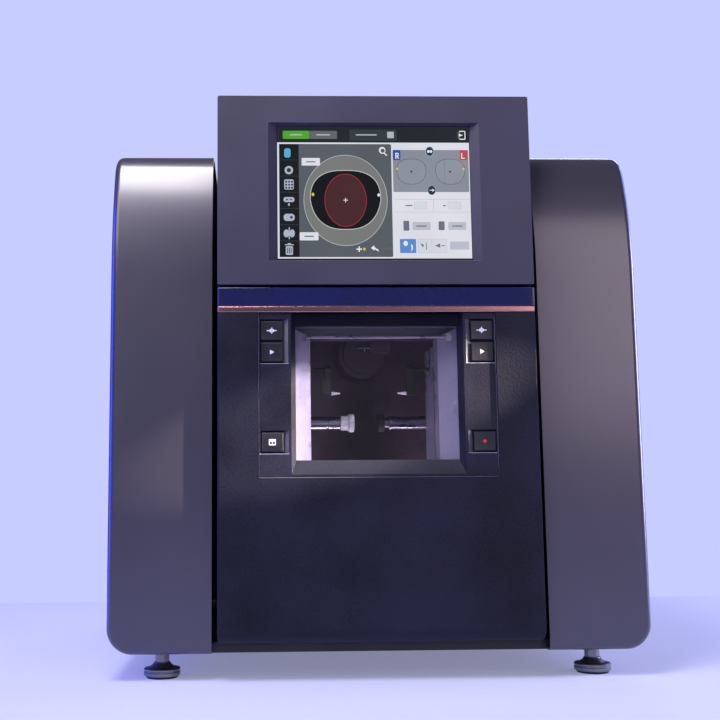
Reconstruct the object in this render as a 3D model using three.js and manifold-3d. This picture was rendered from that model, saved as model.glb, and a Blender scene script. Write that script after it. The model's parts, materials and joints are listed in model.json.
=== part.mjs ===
// Automatic lens edger in millimetres: X to the right, Y to the back, Z up, the table at zero height

import * as THREE from 'three';
import Module from 'manifold-3d';
import { mergeVertices } from 'three/addons/utils/BufferGeometryUtils.js';

const wasm = await Module();
wasm.setup();

// The whole machine
const WIDTH = 572;
const DEPTH = 540;
const HEIGHT = 624;
const FRONT = -DEPTH / 2;
const BACK = DEPTH / 2;
const SEAT = 0.3;
const RUN = 0.3;
const OVERRUN = 30;
const ROUND_SIDES = 18;
const SMALL_SIDES = 10;
const ARC_STEPS = 3;
const COVER_ARC_STEPS = 5;

// The centre front, a column of panels between the side covers
const CENTRE_WIDE = 341;
const CENTRE_X = CENTRE_WIDE / 2;
const PANEL_BOTTOM = 38;
const PANEL_CURL = 16;
const PANEL_WALL = 3.5;
const PANEL_RETURN = 29;
const PANEL_BEVEL = 2;
const TRIM_BOTTOM = 383.8;
const TRIM_HIGH = 6.3;
const BAND_HIGH = 20.2;
const BAND_DEEP = 44;
const DISPLAY_GAP = 3.3;
const TRIM_TOP = TRIM_BOTTOM + TRIM_HIGH;
const BAND_TOP = TRIM_TOP + SEAT + BAND_HIGH;
const DISPLAY_BOTTOM = BAND_TOP + DISPLAY_GAP;

// Base tray and levelling feet
const TRAY_BOTTOM = 27;
const TRAY_SHEET = 4;
const TRAY_TOP = TRAY_BOTTOM + TRAY_SHEET;
const TRAY_RIM_HIGH = PANEL_BOTTOM - SEAT - TRAY_TOP;
const TRAY_RIM = 3;
const FOOT_INSET = [56, 45];
const FOOT_X = WIDTH / 2 - FOOT_INSET[0];
const FOOT_Y = BACK - FOOT_INSET[1];
const FOOT_PAD = [17, 2];
const FOOT_DISC_R = 19.5;
const FOOT_RIM_Z = 10;
const FOOT_CONE = [8.5, 16];
const FOOT_HEX_R = 8;
const FOOT_STUD_R = 5;
const FOOT_STUD_TOP = 46;
const HEX_SIDES = 6;

// Side covers: side profile, bottom corner and wall
const COVER_GAP = 6;
const COVER_IN = CENTRE_X + COVER_GAP;
const COVER_OUT = WIDTH / 2;
const COVER_INSET = [12, 10];
const COVER_FRONT = FRONT + COVER_INSET[0];
const COVER_BACK = BACK - COVER_INSET[1];
const COVER_BOTTOM = TRAY_BOTTOM;
const COVER_DROP = 50;
const COVER_TOP = HEIGHT - COVER_DROP;
const COVER_CURVE_HIGH = 144;
const COVER_CURVE_START = COVER_TOP - COVER_CURVE_HIGH;
const COVER_CURVE_R = 350;
const COVER_SHOULDER_R = 40;
const COVER_CORNER_R = 27;
const COVER_CHAMFER = 8;
const COVER_WALL = 3;
const COVER_FLANGE = 14;

// Control bezel with its window frame and button pockets
const BEZEL_HALF = 127;
const BEZEL_BOTTOM = 208;
const BEZEL_SET_BACK = 3;
const BEZEL_DEEP = 10;
const BEZEL_FRONT = FRONT + BEZEL_SET_BACK;
const BEZEL_BACK = BEZEL_FRONT + BEZEL_DEEP;
const BEZEL_TOP = TRIM_BOTTOM - SEAT;
const WINDOW_HALF_FRONT = 92.2;
const WINDOW_HALF_BACK = 87.1;
const WINDOW_SILL_FRONT = 211.7;
const WINDOW_SILL_BACK = 226.6;
const HEADER_BOTTOM = 370;
const HEADER_DEEP = 5;
const POCKET_IN = 95.2;
const POCKET_FLOOR_IN = 100.6;
const POCKET_OUT = 125;
const POCKET_DEEP = 5;
const POCKET_MARGIN = 2;
const CAP_WIDE = 23.3;
const CAP_HIGH = 20.2;
const CAP_THICK = 3.2;
const CAP_RIM = 1.4;
const CAP_DISH = 0.5;
const CAP_OUT = 124.2;
const CAP_X = CAP_OUT - CAP_WIDE / 2;
const CHUCK_BUTTON_Z = 364.4;
const START_BUTTON_Z = 341.3;
const LOWER_BUTTON_Z = 245.6;
const STEM_R = 5;
const STEM_LONG = 8;
const BUTTONS = [
  ['left_chuck_button', -CAP_X, CHUCK_BUTTON_Z],
  ['left_start_button', -CAP_X, START_BUTTON_Z],
  ['door_button', -CAP_X, LOWER_BUTTON_Z],
  ['right_chuck_button', CAP_X, CHUCK_BUTTON_Z],
  ['right_start_button', CAP_X, START_BUTTON_Z],
  ['power_button', CAP_X, LOWER_BUTTON_Z],
];

// Display: a wedge that leans back about pins near its lower edge
const DISPLAY_FRAME_DEEP = 13;
const DISPLAY_DEEP_BOTTOM = 40;
const DISPLAY_DEEP_TOP = 18;
const DISPLAY_CORNER = 2;
const DISPLAY_WALL = 2.5;
const SCREEN_HALF = 105.5;
const SCREEN_MARGIN = [27.7, 32.3];
const SCREEN_BOTTOM = DISPLAY_BOTTOM + SCREEN_MARGIN[0];
const SCREEN_TOP = HEIGHT - SCREEN_MARGIN[1];
const SCREEN_SINK = 6.5;
const SCREEN_BEVEL_SIDE = 10;
const SCREEN_BEVEL_END = 2;
const SCREEN_BORDER = 5;
const SCREEN_THICK = 4;
const HINGE_SETBACK = 31;
const HINGE_Y = FRONT + HINGE_SETBACK;
const HINGE_Z = 427;
const HINGE_X = 60;
const HINGE_PIN_R = 4;
const HINGE_PIN_LONG = 26;
const HINGE_LUG_R = 8.5;
const EAR_THICK = 8;
const EAR_SLOT_HIGH = 34;

// Chassis: two upright plates and the beam that carries the display
const PLATE_IN = 158;
const PLATE_THICK = 3;
const PLATE_FRONT = FRONT + PANEL_RETURN + SEAT;
const TOP_COVER_DROP = 8;
const TOP_COVER_Z = COVER_TOP - TOP_COVER_DROP;
const TOP_COVER_WALL = 3;
const PLATE_TOP = TOP_COVER_Z - TOP_COVER_WALL - SEAT;
const FLANGE_THICK = 3;
const FRAME_HOLE_R = 12;
const PORT_GAP = 9;
const BEAM_SETBACK = 50;
const BEAM_FRONT = FRONT + BEAM_SETBACK;
const BEAM_DEEP = 16;
const BEAM_BOTTOM = 404;
const BEAM_HIGH = 18;
const REAR_PANEL_THICK = 3;
const REAR_PANEL_IN = COVER_BACK - REAR_PANEL_THICK;

// Top cover, with the sloping apron behind the display
const APRON_CLEAR = 18;
const APRON_BOTTOM = BEAM_BOTTOM + BEAM_HIGH + APRON_CLEAR;
const APRON_HANG_SHARE = 10 / 21;
const SKIRT_BOTTOM = APRON_BOTTOM + (TOP_COVER_Z - APRON_BOTTOM) * APRON_HANG_SHARE;
const APRON_SETBACK = [51, 62];
const APRON_FOOT_Y = FRONT + APRON_SETBACK[0];
const APRON_TOP_Y = FRONT + APRON_SETBACK[1];
const TOP_ROUND_FULL = 12;
const TOP_ROUND_SHARE = 1 / 3;
const TOP_ROUND = Math.min(TOP_ROUND_FULL, (TOP_COVER_Z - APRON_BOTTOM) * TOP_ROUND_SHARE);
const TOP_COVER_BACK = COVER_BACK;

// Grinding chamber and the light hood at its mouth
const CHAMBER_HALF = 108;
const CHAMBER_WALL = 4;
const CHAMBER_OUT = CHAMBER_HALF + CHAMBER_WALL;
const CHAMBER_SETBACK = 65;
const CHAMBER_DEEP = 185;
const CHAMBER_FRONT = FRONT + CHAMBER_SETBACK;
const CHAMBER_REAR = CHAMBER_FRONT + CHAMBER_DEEP;
const CHAMBER_FLOOR = 112;
const CHAMBER_FALL = 12;
const CHAMBER_CEILING = 398;
const CHAMBER_CORNER = 14;
const LEG_WIDE = 20;
const DRAIN_R = 9;
const DRAIN_X = 58;
const DRAIN_INSET = 40;
const DRAIN_Y = CHAMBER_REAR - DRAIN_INSET;
const HOOD_FRONT_HALF = 88;
const HOOD_THROAT_HALF = 70;
const HOOD_FRONT_Z = [213, 369];
const HOOD_THROAT_Z = [222, 362];
const HOOD_SPLAY_DEEP = 20;
const HOOD_MARGIN = 8;
const GLASS_GAP = [0.7, 1];
const GLASS_Y = BEZEL_BACK + GLASS_GAP[0];
const GLASS_THICK = 3;
const HOOD_FRONT = GLASS_Y + GLASS_THICK + GLASS_GAP[1];
const HOOD_BACK = CHAMBER_FRONT - SEAT;

// Door: a glass pane that sinks behind the lower panel on a lead screw
const GLASS_HALF = 91;
const GLASS_BOTTOM = 215;
const GLASS_TOP = 369;
const GLASS_CORNER = 7;
const GUIDE_SLOT = 4;
const GUIDE_WALL = 2;
const GUIDE_LIP = 0.4;
const CARRIER_LUG_HIGH = 10;
const RAIL_R = 1.5;
const RAIL_Z = 358;
const RAIL_HALF = 82;
const CLIP_X = 78;
const CLIP_SIZE = [5, 8];
const CARRIER_HIGH = 9;
const CARRIER_LUG = 9;
const DOOR_SCREW_R = 4;
const DOOR_SCREW_X = 101;
const DOOR_SCREW_BEHIND = 12;
const DOOR_SCREW_Y = GLASS_Y + DOOR_SCREW_BEHIND;
const DOOR_MOTOR_SIZE = 28;
const DOOR_MOTOR_TOP = 64;

// Lens shafts on the travelling head
const SHAFT_BEHIND = 74;
const SHAFT_Y = CHAMBER_FRONT + SHAFT_BEHIND;
const SHAFT_Z = 274;
const SHAFT_R = 8;
const LENS_X = 0;
const LENS_GAP_HALF = 14;
const CUP_LONG = 15.7;
const CUP_NECK_R = 8.6;
const CUP_MOUTH_R = 10.8;
const CUP_LOBES = 12;
const PAD_R = 10.8;
const PAD_THICK = 8;
const PAD_HUB = [6.3, 5];
const COLLAR = [9, 3];
const GROOVE_R = 6.8;
const GROOVE_BEHIND = 14.8;
const GROOVE_WIDE = 1.5;
const ARM_IN = 122;
const ARM_OUT = 148;
const ARM_HIGH = 32;
const ARM_REACH = 21;
const ARM_FRONT = SHAFT_Y - ARM_REACH;
const ARM_ROUND = 14;
const BRIDGE_BEHIND = 24;
const BRIDGE_DEEP = 30;
const BRIDGE_FRONT = CHAMBER_REAR + BRIDGE_BEHIND;
const BRIDGE_BACK = BRIDGE_FRONT + BRIDGE_DEEP;
const QUILL_R = 12;
const QUILL_FROM = 118;
const QUILL_TO = 186;
const CLAMP_HOUSING_R = 20;
const CLAMP_HOUSING_TO = 206;
const SHAFT_END = 196;
const WALL_SLOT_HALF = 19;
const LIFT_DOWN = 40;
const LIFT_UP = 10;

// Carriage behind the chamber
const COLUMN_X = 45;
const COLUMN_R = 6;
const COLUMN_Y = (BRIDGE_FRONT + BRIDGE_BACK) / 2;
const CARRIAGE_HALF = 62;
const CARRIAGE_FLANGE = 10;
const CARRIAGE_BOTTOM = 202;
const CARRIAGE_TOP = 322;
const CARRIAGE_WALL = 8;
const CARRIAGE_PLATE = [BRIDGE_BACK + CARRIAGE_WALL, BRIDGE_BACK + CARRIAGE_WALL * 2];
const GUIDE_ROD_R = 7;
const GUIDE_ROD_BEHIND = 12;
const GUIDE_ROD_Y = CARRIAGE_PLATE[1] + GUIDE_ROD_BEHIND;
const GUIDE_ROD_Z = [222, 302];
const LUG_LONG = 24;
const LUG_SIZE = 26;
const LIFT_SCREW_R = 4;

// Wheel stack, its bearing and its belt drive
const WHEEL_BEHIND = 56;
const WHEEL_Y = SHAFT_Y + WHEEL_BEHIND;
const WHEEL_Z = 178;
const WHEEL_R = 50;
const ROUGH_WHEEL_X = [-44, 0];
const FINE_WHEEL_X = [1, 45];
const BEVEL_GROOVE = [3, 4];
const SPINDLE_R = 8;
const SPINDLE_FROM = -154;
const SPINDLE_TO = 56;
const NUT = [13, 10];
const BEARING_R = 24;
const BEARING_TO = -138;
const PULLEY_X = [-152, -140];
const PULLEY_R = 20;
const PULLEY_LIP = 2;
const MOTOR_PULLEY_R = 26;
const MOTOR_BEHIND = 113;
const MOTOR_Y = WHEEL_Y + MOTOR_BEHIND;
const MOTOR_Z = 106;
const MOTOR_R = 36;
const MOTOR_FROM = -128;
const MOTOR_TO = 20;
const MOTOR_FOOT = 52;
const BELT_THICK = 2;
const BELT_RUN = 1.2;

// Feelers, tool head and inspection plate
const FEELER_INSET = 32;
const FEELER_Y = CHAMBER_FRONT + FEELER_INSET;
const FEELER_Z = 333;
const FEELER_ROD_R = 2.2;
const FEELER_BOSS_R = 5;
const FEELER_ARM = [7, 30];
const FEELER_ARM_X = 47;
const FEELER_TIP_X = 33;
const FEELER_TIP_R = [2.4, 0.8];
const FEELER_BUSH_R = 6;
const FEELER_ROD_END = 152;
const FEELER_SLEEVE_LONG = 24;
const TOOL_X = 3;
const TOOL_Z = 363;
const TOOL_R = 30;
const TOOL_DEEP = 52;
const TOOL_FRONT = CHAMBER_REAR - TOOL_DEEP;
const TOOL_STEP = [24, 4];
const TOOL_SHAFT_R = 9;
const TOOL_BLOCK_OFFSET = [9, 1];
const TOOL_BLOCK_SIZE = [26, 13];
const TOOL_BLOCK_FROM = [TOOL_X + TOOL_BLOCK_OFFSET[0], TOOL_Z + TOOL_BLOCK_OFFSET[1]];
const TOOL_BLOCK_X = [TOOL_BLOCK_FROM[0], TOOL_BLOCK_FROM[0] + TOOL_BLOCK_SIZE[0]];
const TOOL_BLOCK_Z = [TOOL_BLOCK_FROM[1], TOOL_BLOCK_FROM[1] + TOOL_BLOCK_SIZE[1]];
const TOOL_BLOCK_DEEP = 12;
const TOOL_SPINDLE_R = 1.5;
const TOOL_SPINDLE_LONG = 15;
const GROOVING_DISC = [7, 1.2];
const HATCH_X = 32;
const HATCH_Z = 282;
const HATCH_WIDE = 27;
const HATCH_HIGH = 19;
const HATCH_THICK = 3;
const THUMB_SCREW = [4, 7];

// Rear side: fan, mains inlet, rocker switch and hose connections
const FAN_X = -95;
const FAN_DROP = 70;
const FAN_Z = SKIRT_BOTTOM - FAN_DROP;
const FAN_SIZE = 92;
const FAN_R = 42;
const FAN_DEEP = 25;
const FAN_HUB_R = 17;
const FAN_BLADES = 7;
const FAN_BLADE = [22, 2.4];
const GUARD_RINGS = [16, 25, 34];
const GUARD_WIRE = 4;
const VENT_X = 85;
const VENT_WIDE = 90;
const VENT_HIGH = 6;
const VENT_STEP = 13;
const VENT_ROWS = 7;
const VENT_DROP = 110;
const VENT_BOTTOM = SKIRT_BOTTOM - VENT_DROP;
const INLET_X = -112;
const INLET_Z = 90;
const INLET_SIZE = [28, 48];
const INLET_FLANGE = 4;
const INLET_DEEP = 26;
const SWITCH_X = -62;
const SWITCH_SIZE = [22, 30];
const SWITCH_DEEP = 12;
const SWITCH_PROUD = 3.5;
const BARB_X = 110;
const BARB_WATER_Z = 150;
const BARB_DRAIN_Z = 70;
const BARB_R = 7;
const BARB_BORE_R = 4.5;
const BARB_FLANGE = [13, 3];
const DRAIN_PIPE_R = 8;
const DRAIN_PIPE_BORE = 5.5;
const PIPE_STEPS = 12;

const COLOURS = {
  charcoal: ['#4a4a50', 0.38, 0.55],
  black_texture: ['#232329', 0.6, 0],
  gloss_navy: ['#15172c', 0.12, 0.1],
  copper: ['#c08a72', 0.28, 1],
  cap_black: ['#1b1b22', 0.4, 0],
  matte_black: ['#2a2a2e', 0.55, 0],
  screen: ['#3b4046', 0.15, 0],
  steel: ['#9a9ca2', 0.35, 1],
  dark_steel: ['#4b4c52', 0.3, 1],
  chrome: ['#d5d7dc', 0.12, 1],
  hood_grey: ['#c9c8d6', 0.25, 0],
  tub_dark: ['#4d4658', 0.5, 0],
  glass: ['#b9bfd6', 0.05, 0],
  white: ['#e4e3ea', 0.4, 0],
  rubber: ['#141417', 0.75, 0],
  abrasive: ['#8b8680', 0.85, 0.2],
  abrasive_fine: ['#a59a86', 0.7, 0.2],
  brass: ['#b79a57', 0.3, 1],
  zinc: ['#8e9096', 0.45, 0.9],
};

function finish(name) {
  const [color, roughness, metalness] = COLOURS[name];
  return new THREE.MeshStandardMaterial({ color, roughness, metalness });
}

// Solids from three.js geometry, joined and cut as closed meshes
function solidOf(geometry) {
  const bare = geometry.clone();
  bare.deleteAttribute('normal');
  bare.deleteAttribute('uv');
  const merged = mergeVertices(bare);
  const vertProperties = new Float32Array(merged.attributes.position.array);
  const triVerts = new Uint32Array(merged.index.array);
  return new wasm.Manifold(new wasm.Mesh({ numProp: 3, vertProperties, triVerts }));
}

function geometryOf(solid) {
  const mesh = solid.getMesh();
  const geometry = new THREE.BufferGeometry();
  geometry.setAttribute('position', new THREE.BufferAttribute(mesh.vertProperties, 3));
  geometry.setIndex(new THREE.BufferAttribute(mesh.triVerts, 1));
  geometry.computeVertexNormals();
  return geometry;
}

const joined = (first, ...rest) => rest.reduce((whole, piece) => whole.add(piece), first);
const cutFrom = (first, ...rest) => rest.reduce((whole, piece) => whole.subtract(piece), first);
const middle = ([low, high]) => (low + high) / 2;
const span = ([low, high]) => high - low;

function block(x, y, z) {
  const geometry = new THREE.BoxGeometry(span(x), span(y), span(z));
  return solidOf(geometry.translate(middle(x), middle(y), middle(z)));
}

// Basis that turns a flat outline and its extrusion onto an axis of the machine
const AXES = {
  x: [[0, 1, 0], [0, 0, 1], [1, 0, 0]],
  y: [[1, 0, 0], [0, 0, 1], [0, -1, 0]],
  z: [[1, 0, 0], [0, 1, 0], [0, 0, 1]],
};

function prism(axis, outline, reach, chamfer = 0, curveSegments = ARC_STEPS) {
  const options = { depth: span(reach) - 2 * chamfer, bevelEnabled: chamfer > 0, curveSegments };
  const bevel = { bevelSize: chamfer, bevelThickness: chamfer, bevelOffset: -chamfer, bevelSegments: 1 };
  const geometry = new THREE.ExtrudeGeometry(outline, { ...options, ...bevel });
  geometry.translate(0, 0, chamfer);
  const columns = AXES[axis].map((column) => new THREE.Vector3(...column));
  geometry.applyMatrix4(new THREE.Matrix4().makeBasis(...columns));
  const start = columns[2].clone().multiplyScalar(axis === 'y' ? -reach[1] : reach[0]);
  return solidOf(geometry.translate(start.x, start.y, start.z));
}

// A round bar along an axis; its centre is given by the two other coordinates in X, Y, Z order
function bar(axis, radius, reach, centre, sides = ROUND_SIDES, endRadius = radius) {
  const profile = [[0, reach[0]], [radius, reach[0]], [endRadius, reach[1]], [0, reach[1]]];
  return turned(axis, profile, centre, sides);
}

// A profile of radius and place along the axis, turned about that axis
function turned(axis, profile, centre, sides = ROUND_SIDES) {
  const points = profile.map(([radius, along]) => new THREE.Vector2(radius, along));
  const geometry = new THREE.LatheGeometry(points, sides);
  const [first, second] = centre;
  if (axis === 'x') geometry.rotateZ(-Math.PI / 2).translate(0, first, second);
  if (axis === 'y') geometry.rotateY(Math.PI / 2).translate(first, 0, second);
  if (axis === 'z') geometry.rotateX(Math.PI / 2).translate(first, second, 0);
  return solidOf(geometry);
}

// A four-sided funnel between two upright rectangles at different depths
function funnel(frontX, frontZ, frontY, backX, backZ, backY) {
  const corners = [];
  for (const [x, y, z] of [[frontX, frontY, frontZ], [backX, backY, backZ]]) {
    corners.push([x[0], y, z[0]], [x[1], y, z[0]], [x[1], y, z[1]], [x[0], y, z[1]]);
  }
  const geometry = new THREE.BufferGeometry();
  geometry.setAttribute('position', new THREE.Float32BufferAttribute(corners.flat(), 3));
  const index = [0, 1, 2, 0, 2, 3, 4, 6, 5, 4, 7, 6];
  for (let side = 0; side < 4; side += 1) {
    const next = (side + 1) % 4;
    index.push(side, side + 4, next + 4, side, next + 4, next);
  }
  geometry.setIndex(index);
  return solidOf(geometry);
}

function roundedRectangle([x0, x1], [y0, y1], radius) {
  const shape = new THREE.Shape();
  shape.moveTo(x0 + radius, y0);
  shape.lineTo(x1 - radius, y0);
  shape.absarc(x1 - radius, y0 + radius, radius, -Math.PI / 2, 0);
  shape.lineTo(x1, y1 - radius);
  shape.absarc(x1 - radius, y1 - radius, radius, 0, Math.PI / 2);
  shape.lineTo(x0 + radius, y1);
  shape.absarc(x0 + radius, y1 - radius, radius, Math.PI / 2, Math.PI);
  shape.lineTo(x0, y0 + radius);
  shape.absarc(x0 + radius, y0 + radius, radius, Math.PI, Math.PI * 3 / 2);
  return shape;
}

function polygon(points) {
  return new THREE.Shape(points.map(([x, y]) => new THREE.Vector2(x, y)));
}

function mirroredX(solid) {
  const geometry = geometryOf(solid);
  geometry.scale(-1, 1, 1);
  const index = geometry.index.array;
  for (let corner = 0; corner < index.length; corner += 3) {
    const kept = index[corner];
    index[corner] = index[corner + 1];
    index[corner + 1] = kept;
  }
  return solidOf(geometry);
}

const machine = new THREE.Group();

function place(name, solid, colour, position = [0, 0, 0], parent = machine) {
  const mesh = new THREE.Mesh(geometryOf(solid), finish(colour));
  mesh.name = name;
  mesh.position.set(...position);
  parent.add(mesh);
}

// Base tray: a folded steel floor with a low rim and a hole for each levelling foot
function baseTray() {
  const half = COVER_OUT - COVER_CHAMFER - COVER_CORNER_R - SEAT;
  const front = COVER_FRONT + COVER_FLANGE + SEAT;
  const back = COVER_BACK - COVER_FLANGE - SEAT;
  const outer = block([-half, half], [front, back], [TRAY_BOTTOM, TRAY_TOP + TRAY_RIM_HIGH]);
  const hollow = block(
    [-half + TRAY_RIM, half - TRAY_RIM],
    [front + TRAY_RIM, back + OVERRUN],
    [TRAY_TOP, TRAY_TOP + OVERRUN],
  );
  const studs = [];
  for (const x of [-FOOT_X, FOOT_X]) {
    for (const y of [-FOOT_Y, FOOT_Y]) {
      studs.push(bar('z', FOOT_STUD_R + RUN, [0, TRAY_TOP + OVERRUN], [x, y], SMALL_SIDES));
    }
  }
  return cutFrom(outer, hollow, ...studs);
}

// Levelling foot: rubber pad, turned disc, hexagon for the spanner and threaded stud
function levellingFoot() {
  const [padR, padHigh] = FOOT_PAD;
  const [coneR, coneTop] = FOOT_CONE;
  const hexTop = TRAY_BOTTOM - SEAT;
  const profile = [
    [0, 0], [padR, 0], [padR, padHigh], [FOOT_DISC_R, padHigh], [FOOT_DISC_R, FOOT_RIM_Z],
    [coneR, coneTop], [FOOT_STUD_R, coneTop], [FOOT_STUD_R, FOOT_STUD_TOP], [0, FOOT_STUD_TOP],
  ];
  const hexagon = bar('z', FOOT_HEX_R, [FOOT_RIM_Z, hexTop], [0, 0], HEX_SIDES);
  return turned('z', profile, [0, 0]).add(hexagon);
}

// Side cover: the side profile with a chamfered outer edge, crossed with the front outline
function coverProfile(inset) {
  const curveR = COVER_CURVE_R - inset;
  const shoulderR = COVER_SHOULDER_R - inset;
  const rise = COVER_TOP - COVER_CURVE_START - COVER_SHOULDER_R;
  const turn = Math.asin(rise / (COVER_CURVE_R - COVER_SHOULDER_R));
  const shoulderY = COVER_FRONT + COVER_CURVE_R - (COVER_CURVE_R - COVER_SHOULDER_R) * Math.cos(turn);
  const shoulderZ = COVER_TOP - COVER_SHOULDER_R;
  const shape = new THREE.Shape();
  shape.moveTo(COVER_FRONT + inset, COVER_BOTTOM + inset);
  shape.lineTo(COVER_FRONT + inset, COVER_CURVE_START);
  shape.absarc(COVER_FRONT + COVER_CURVE_R, COVER_CURVE_START, curveR, Math.PI, Math.PI - turn, true);
  shape.absarc(shoulderY, shoulderZ, shoulderR, Math.PI - turn, Math.PI / 2, true);
  shape.absarc(COVER_BACK - COVER_SHOULDER_R, shoulderZ, shoulderR, Math.PI / 2, 0, true);
  shape.lineTo(COVER_BACK - inset, COVER_BOTTOM + inset);
  return shape;
}

function coverOutline(inset) {
  const radius = COVER_CORNER_R - inset;
  const centre = [COVER_OUT - COVER_CORNER_R, COVER_BOTTOM + COVER_CORNER_R];
  const shape = new THREE.Shape();
  shape.moveTo(0, COVER_BOTTOM + inset);
  shape.lineTo(centre[0], COVER_BOTTOM + inset);
  shape.absarc(centre[0], centre[1], radius, -Math.PI / 2, 0);
  shape.lineTo(COVER_OUT - inset, COVER_TOP + OVERRUN);
  shape.lineTo(0, COVER_TOP + OVERRUN);
  return shape;
}

function coverBody(inset) {
  const depth = [COVER_FRONT + inset, COVER_BACK - inset];
  const side = prism('x', coverProfile(inset), [0, COVER_OUT - inset], COVER_CHAMFER, COVER_ARC_STEPS);
  const front = prism('y', coverOutline(inset), depth, COVER_CHAMFER, COVER_ARC_STEPS);
  return side.intersect(front);
}

function sideCover() {
  const clip = block([COVER_IN, COVER_OUT + OVERRUN], [FRONT, BACK], [0, HEIGHT]);
  const flangeIn = COVER_OUT - COVER_CHAMFER - COVER_CORNER_R;
  const underside = block(
    [0, flangeIn],
    [COVER_FRONT + COVER_FLANGE, COVER_BACK - COVER_FLANGE],
    [0, COVER_BOTTOM + OVERRUN],
  );
  return cutFrom(coverBody(0).intersect(clip), coverBody(COVER_WALL), underside);
}

// Front panel: curled under at the bottom, with returns at both sides and a bay for the control bezel
function panelProfile(inset) {
  const back = FRONT + PANEL_RETURN;
  const curl = PANEL_CURL - inset;
  const top = TRIM_BOTTOM - SEAT;
  const shape = new THREE.Shape();
  shape.moveTo(back + (inset > 0 ? OVERRUN : 0), PANEL_BOTTOM + inset);
  shape.lineTo(back + (inset > 0 ? OVERRUN : 0), top - inset);
  shape.lineTo(FRONT + inset, top - inset);
  shape.lineTo(FRONT + inset, PANEL_BOTTOM + PANEL_CURL);
  shape.absarc(FRONT + PANEL_CURL, PANEL_BOTTOM + PANEL_CURL, curl, Math.PI, Math.PI * 3 / 2);
  return shape;
}

function frontPanel() {
  const half = CENTRE_X;
  const outer = prism('x', panelProfile(0), [-half, half], PANEL_BEVEL);
  const inner = prism('x', panelProfile(PANEL_WALL), [-half + PANEL_WALL, half - PANEL_WALL]);
  const bayHalf = BEZEL_HALF + SEAT;
  const bay = block([-bayHalf, bayHalf], [FRONT - OVERRUN, 0], [BEZEL_BOTTOM - SEAT, HEIGHT]);
  return cutFrom(outer, inner, bay);
}

// Control bezel: window frame with a sloping sill, a set-back header and two button pockets a side
function pocket(side, z) {
  const ordered = (near, far) => (side > 0 ? [near, far] : [-far, -near]);
  return funnel(
    ordered(POCKET_IN, POCKET_OUT), z, BEZEL_FRONT,
    ordered(POCKET_FLOOR_IN, POCKET_OUT), z, BEZEL_FRONT + POCKET_DEEP,
  );
}

function controlBezel() {
  const plate = block([-BEZEL_HALF, BEZEL_HALF], [BEZEL_FRONT, BEZEL_BACK], [BEZEL_BOTTOM, BEZEL_TOP]);
  const above = BEZEL_TOP + OVERRUN;
  const window = funnel(
    [-WINDOW_HALF_FRONT, WINDOW_HALF_FRONT], [WINDOW_SILL_FRONT, above], BEZEL_FRONT,
    [-WINDOW_HALF_BACK, WINDOW_HALF_BACK], [WINDOW_SILL_BACK, above], BEZEL_BACK,
  );
  const reach = WINDOW_HALF_BACK + PANEL_BEVEL;
  const header = block([-reach, reach], [BEZEL_BACK - HEADER_DEEP, BEZEL_BACK], [HEADER_BOTTOM, BEZEL_TOP]);
  const capReach = CAP_HIGH / 2 + POCKET_MARGIN;
  const upper = [START_BUTTON_Z - capReach, CHUCK_BUTTON_Z + capReach];
  const lower = [LOWER_BUTTON_Z - CAP_HIGH / 2 - SEAT * 2, LOWER_BUTTON_Z + CAP_HIGH / 2 + SEAT * 2];
  const pockets = [-1, 1].flatMap((side) => [pocket(side, upper), pocket(side, lower)]);
  const bores = BUTTONS.map(([, x, z]) => (
    bar('y', STEM_R + RUN, [BEZEL_FRONT, BEZEL_BACK + OVERRUN], [x, z], SMALL_SIDES)
  ));
  return cutFrom(plate.subtract(window).add(header), ...pockets, ...bores);
}

// Push button: a cap with a chamfered edge and a shallow dish, on a round stem
function buttonCap() {
  const x = [-CAP_WIDE / 2, CAP_WIDE / 2];
  const z = [-CAP_HIGH / 2, CAP_HIGH / 2];
  const inner = ([low, high], edge) => [low + edge, high - edge];
  const rim = funnel(inner(x, CAP_DISH), inner(z, CAP_DISH), 0, x, z, CAP_DISH);
  const body = block(x, [CAP_DISH, CAP_THICK], z);
  const dish = funnel(
    inner(x, CAP_RIM), inner(z, CAP_RIM), 0,
    inner(x, CAP_RIM * 2), inner(z, CAP_RIM * 2), CAP_DISH,
  );
  const mouth = block(inner(x, CAP_RIM), [-OVERRUN, 0], inner(z, CAP_RIM));
  const stem = bar('y', STEM_R, [CAP_THICK, CAP_THICK + STEM_LONG], [0, 0], SMALL_SIDES);
  return cutFrom(joined(rim, body, stem), joined(dish, mouth));
}

// Copper-coloured trim and the glossy band above it
function accentTrim() {
  return prism(
    'z', roundedRectangle([-CENTRE_X, CENTRE_X], [FRONT, FRONT + BAND_DEEP], PANEL_BEVEL),
    [TRIM_BOTTOM, TRIM_TOP],
  );
}

function accentBand() {
  const outer = roundedRectangle([-CENTRE_X, CENTRE_X], [FRONT, FRONT + BAND_DEEP], PANEL_BEVEL);
  return prism('z', outer, [TRIM_TOP + SEAT, BAND_TOP]);
}

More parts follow.
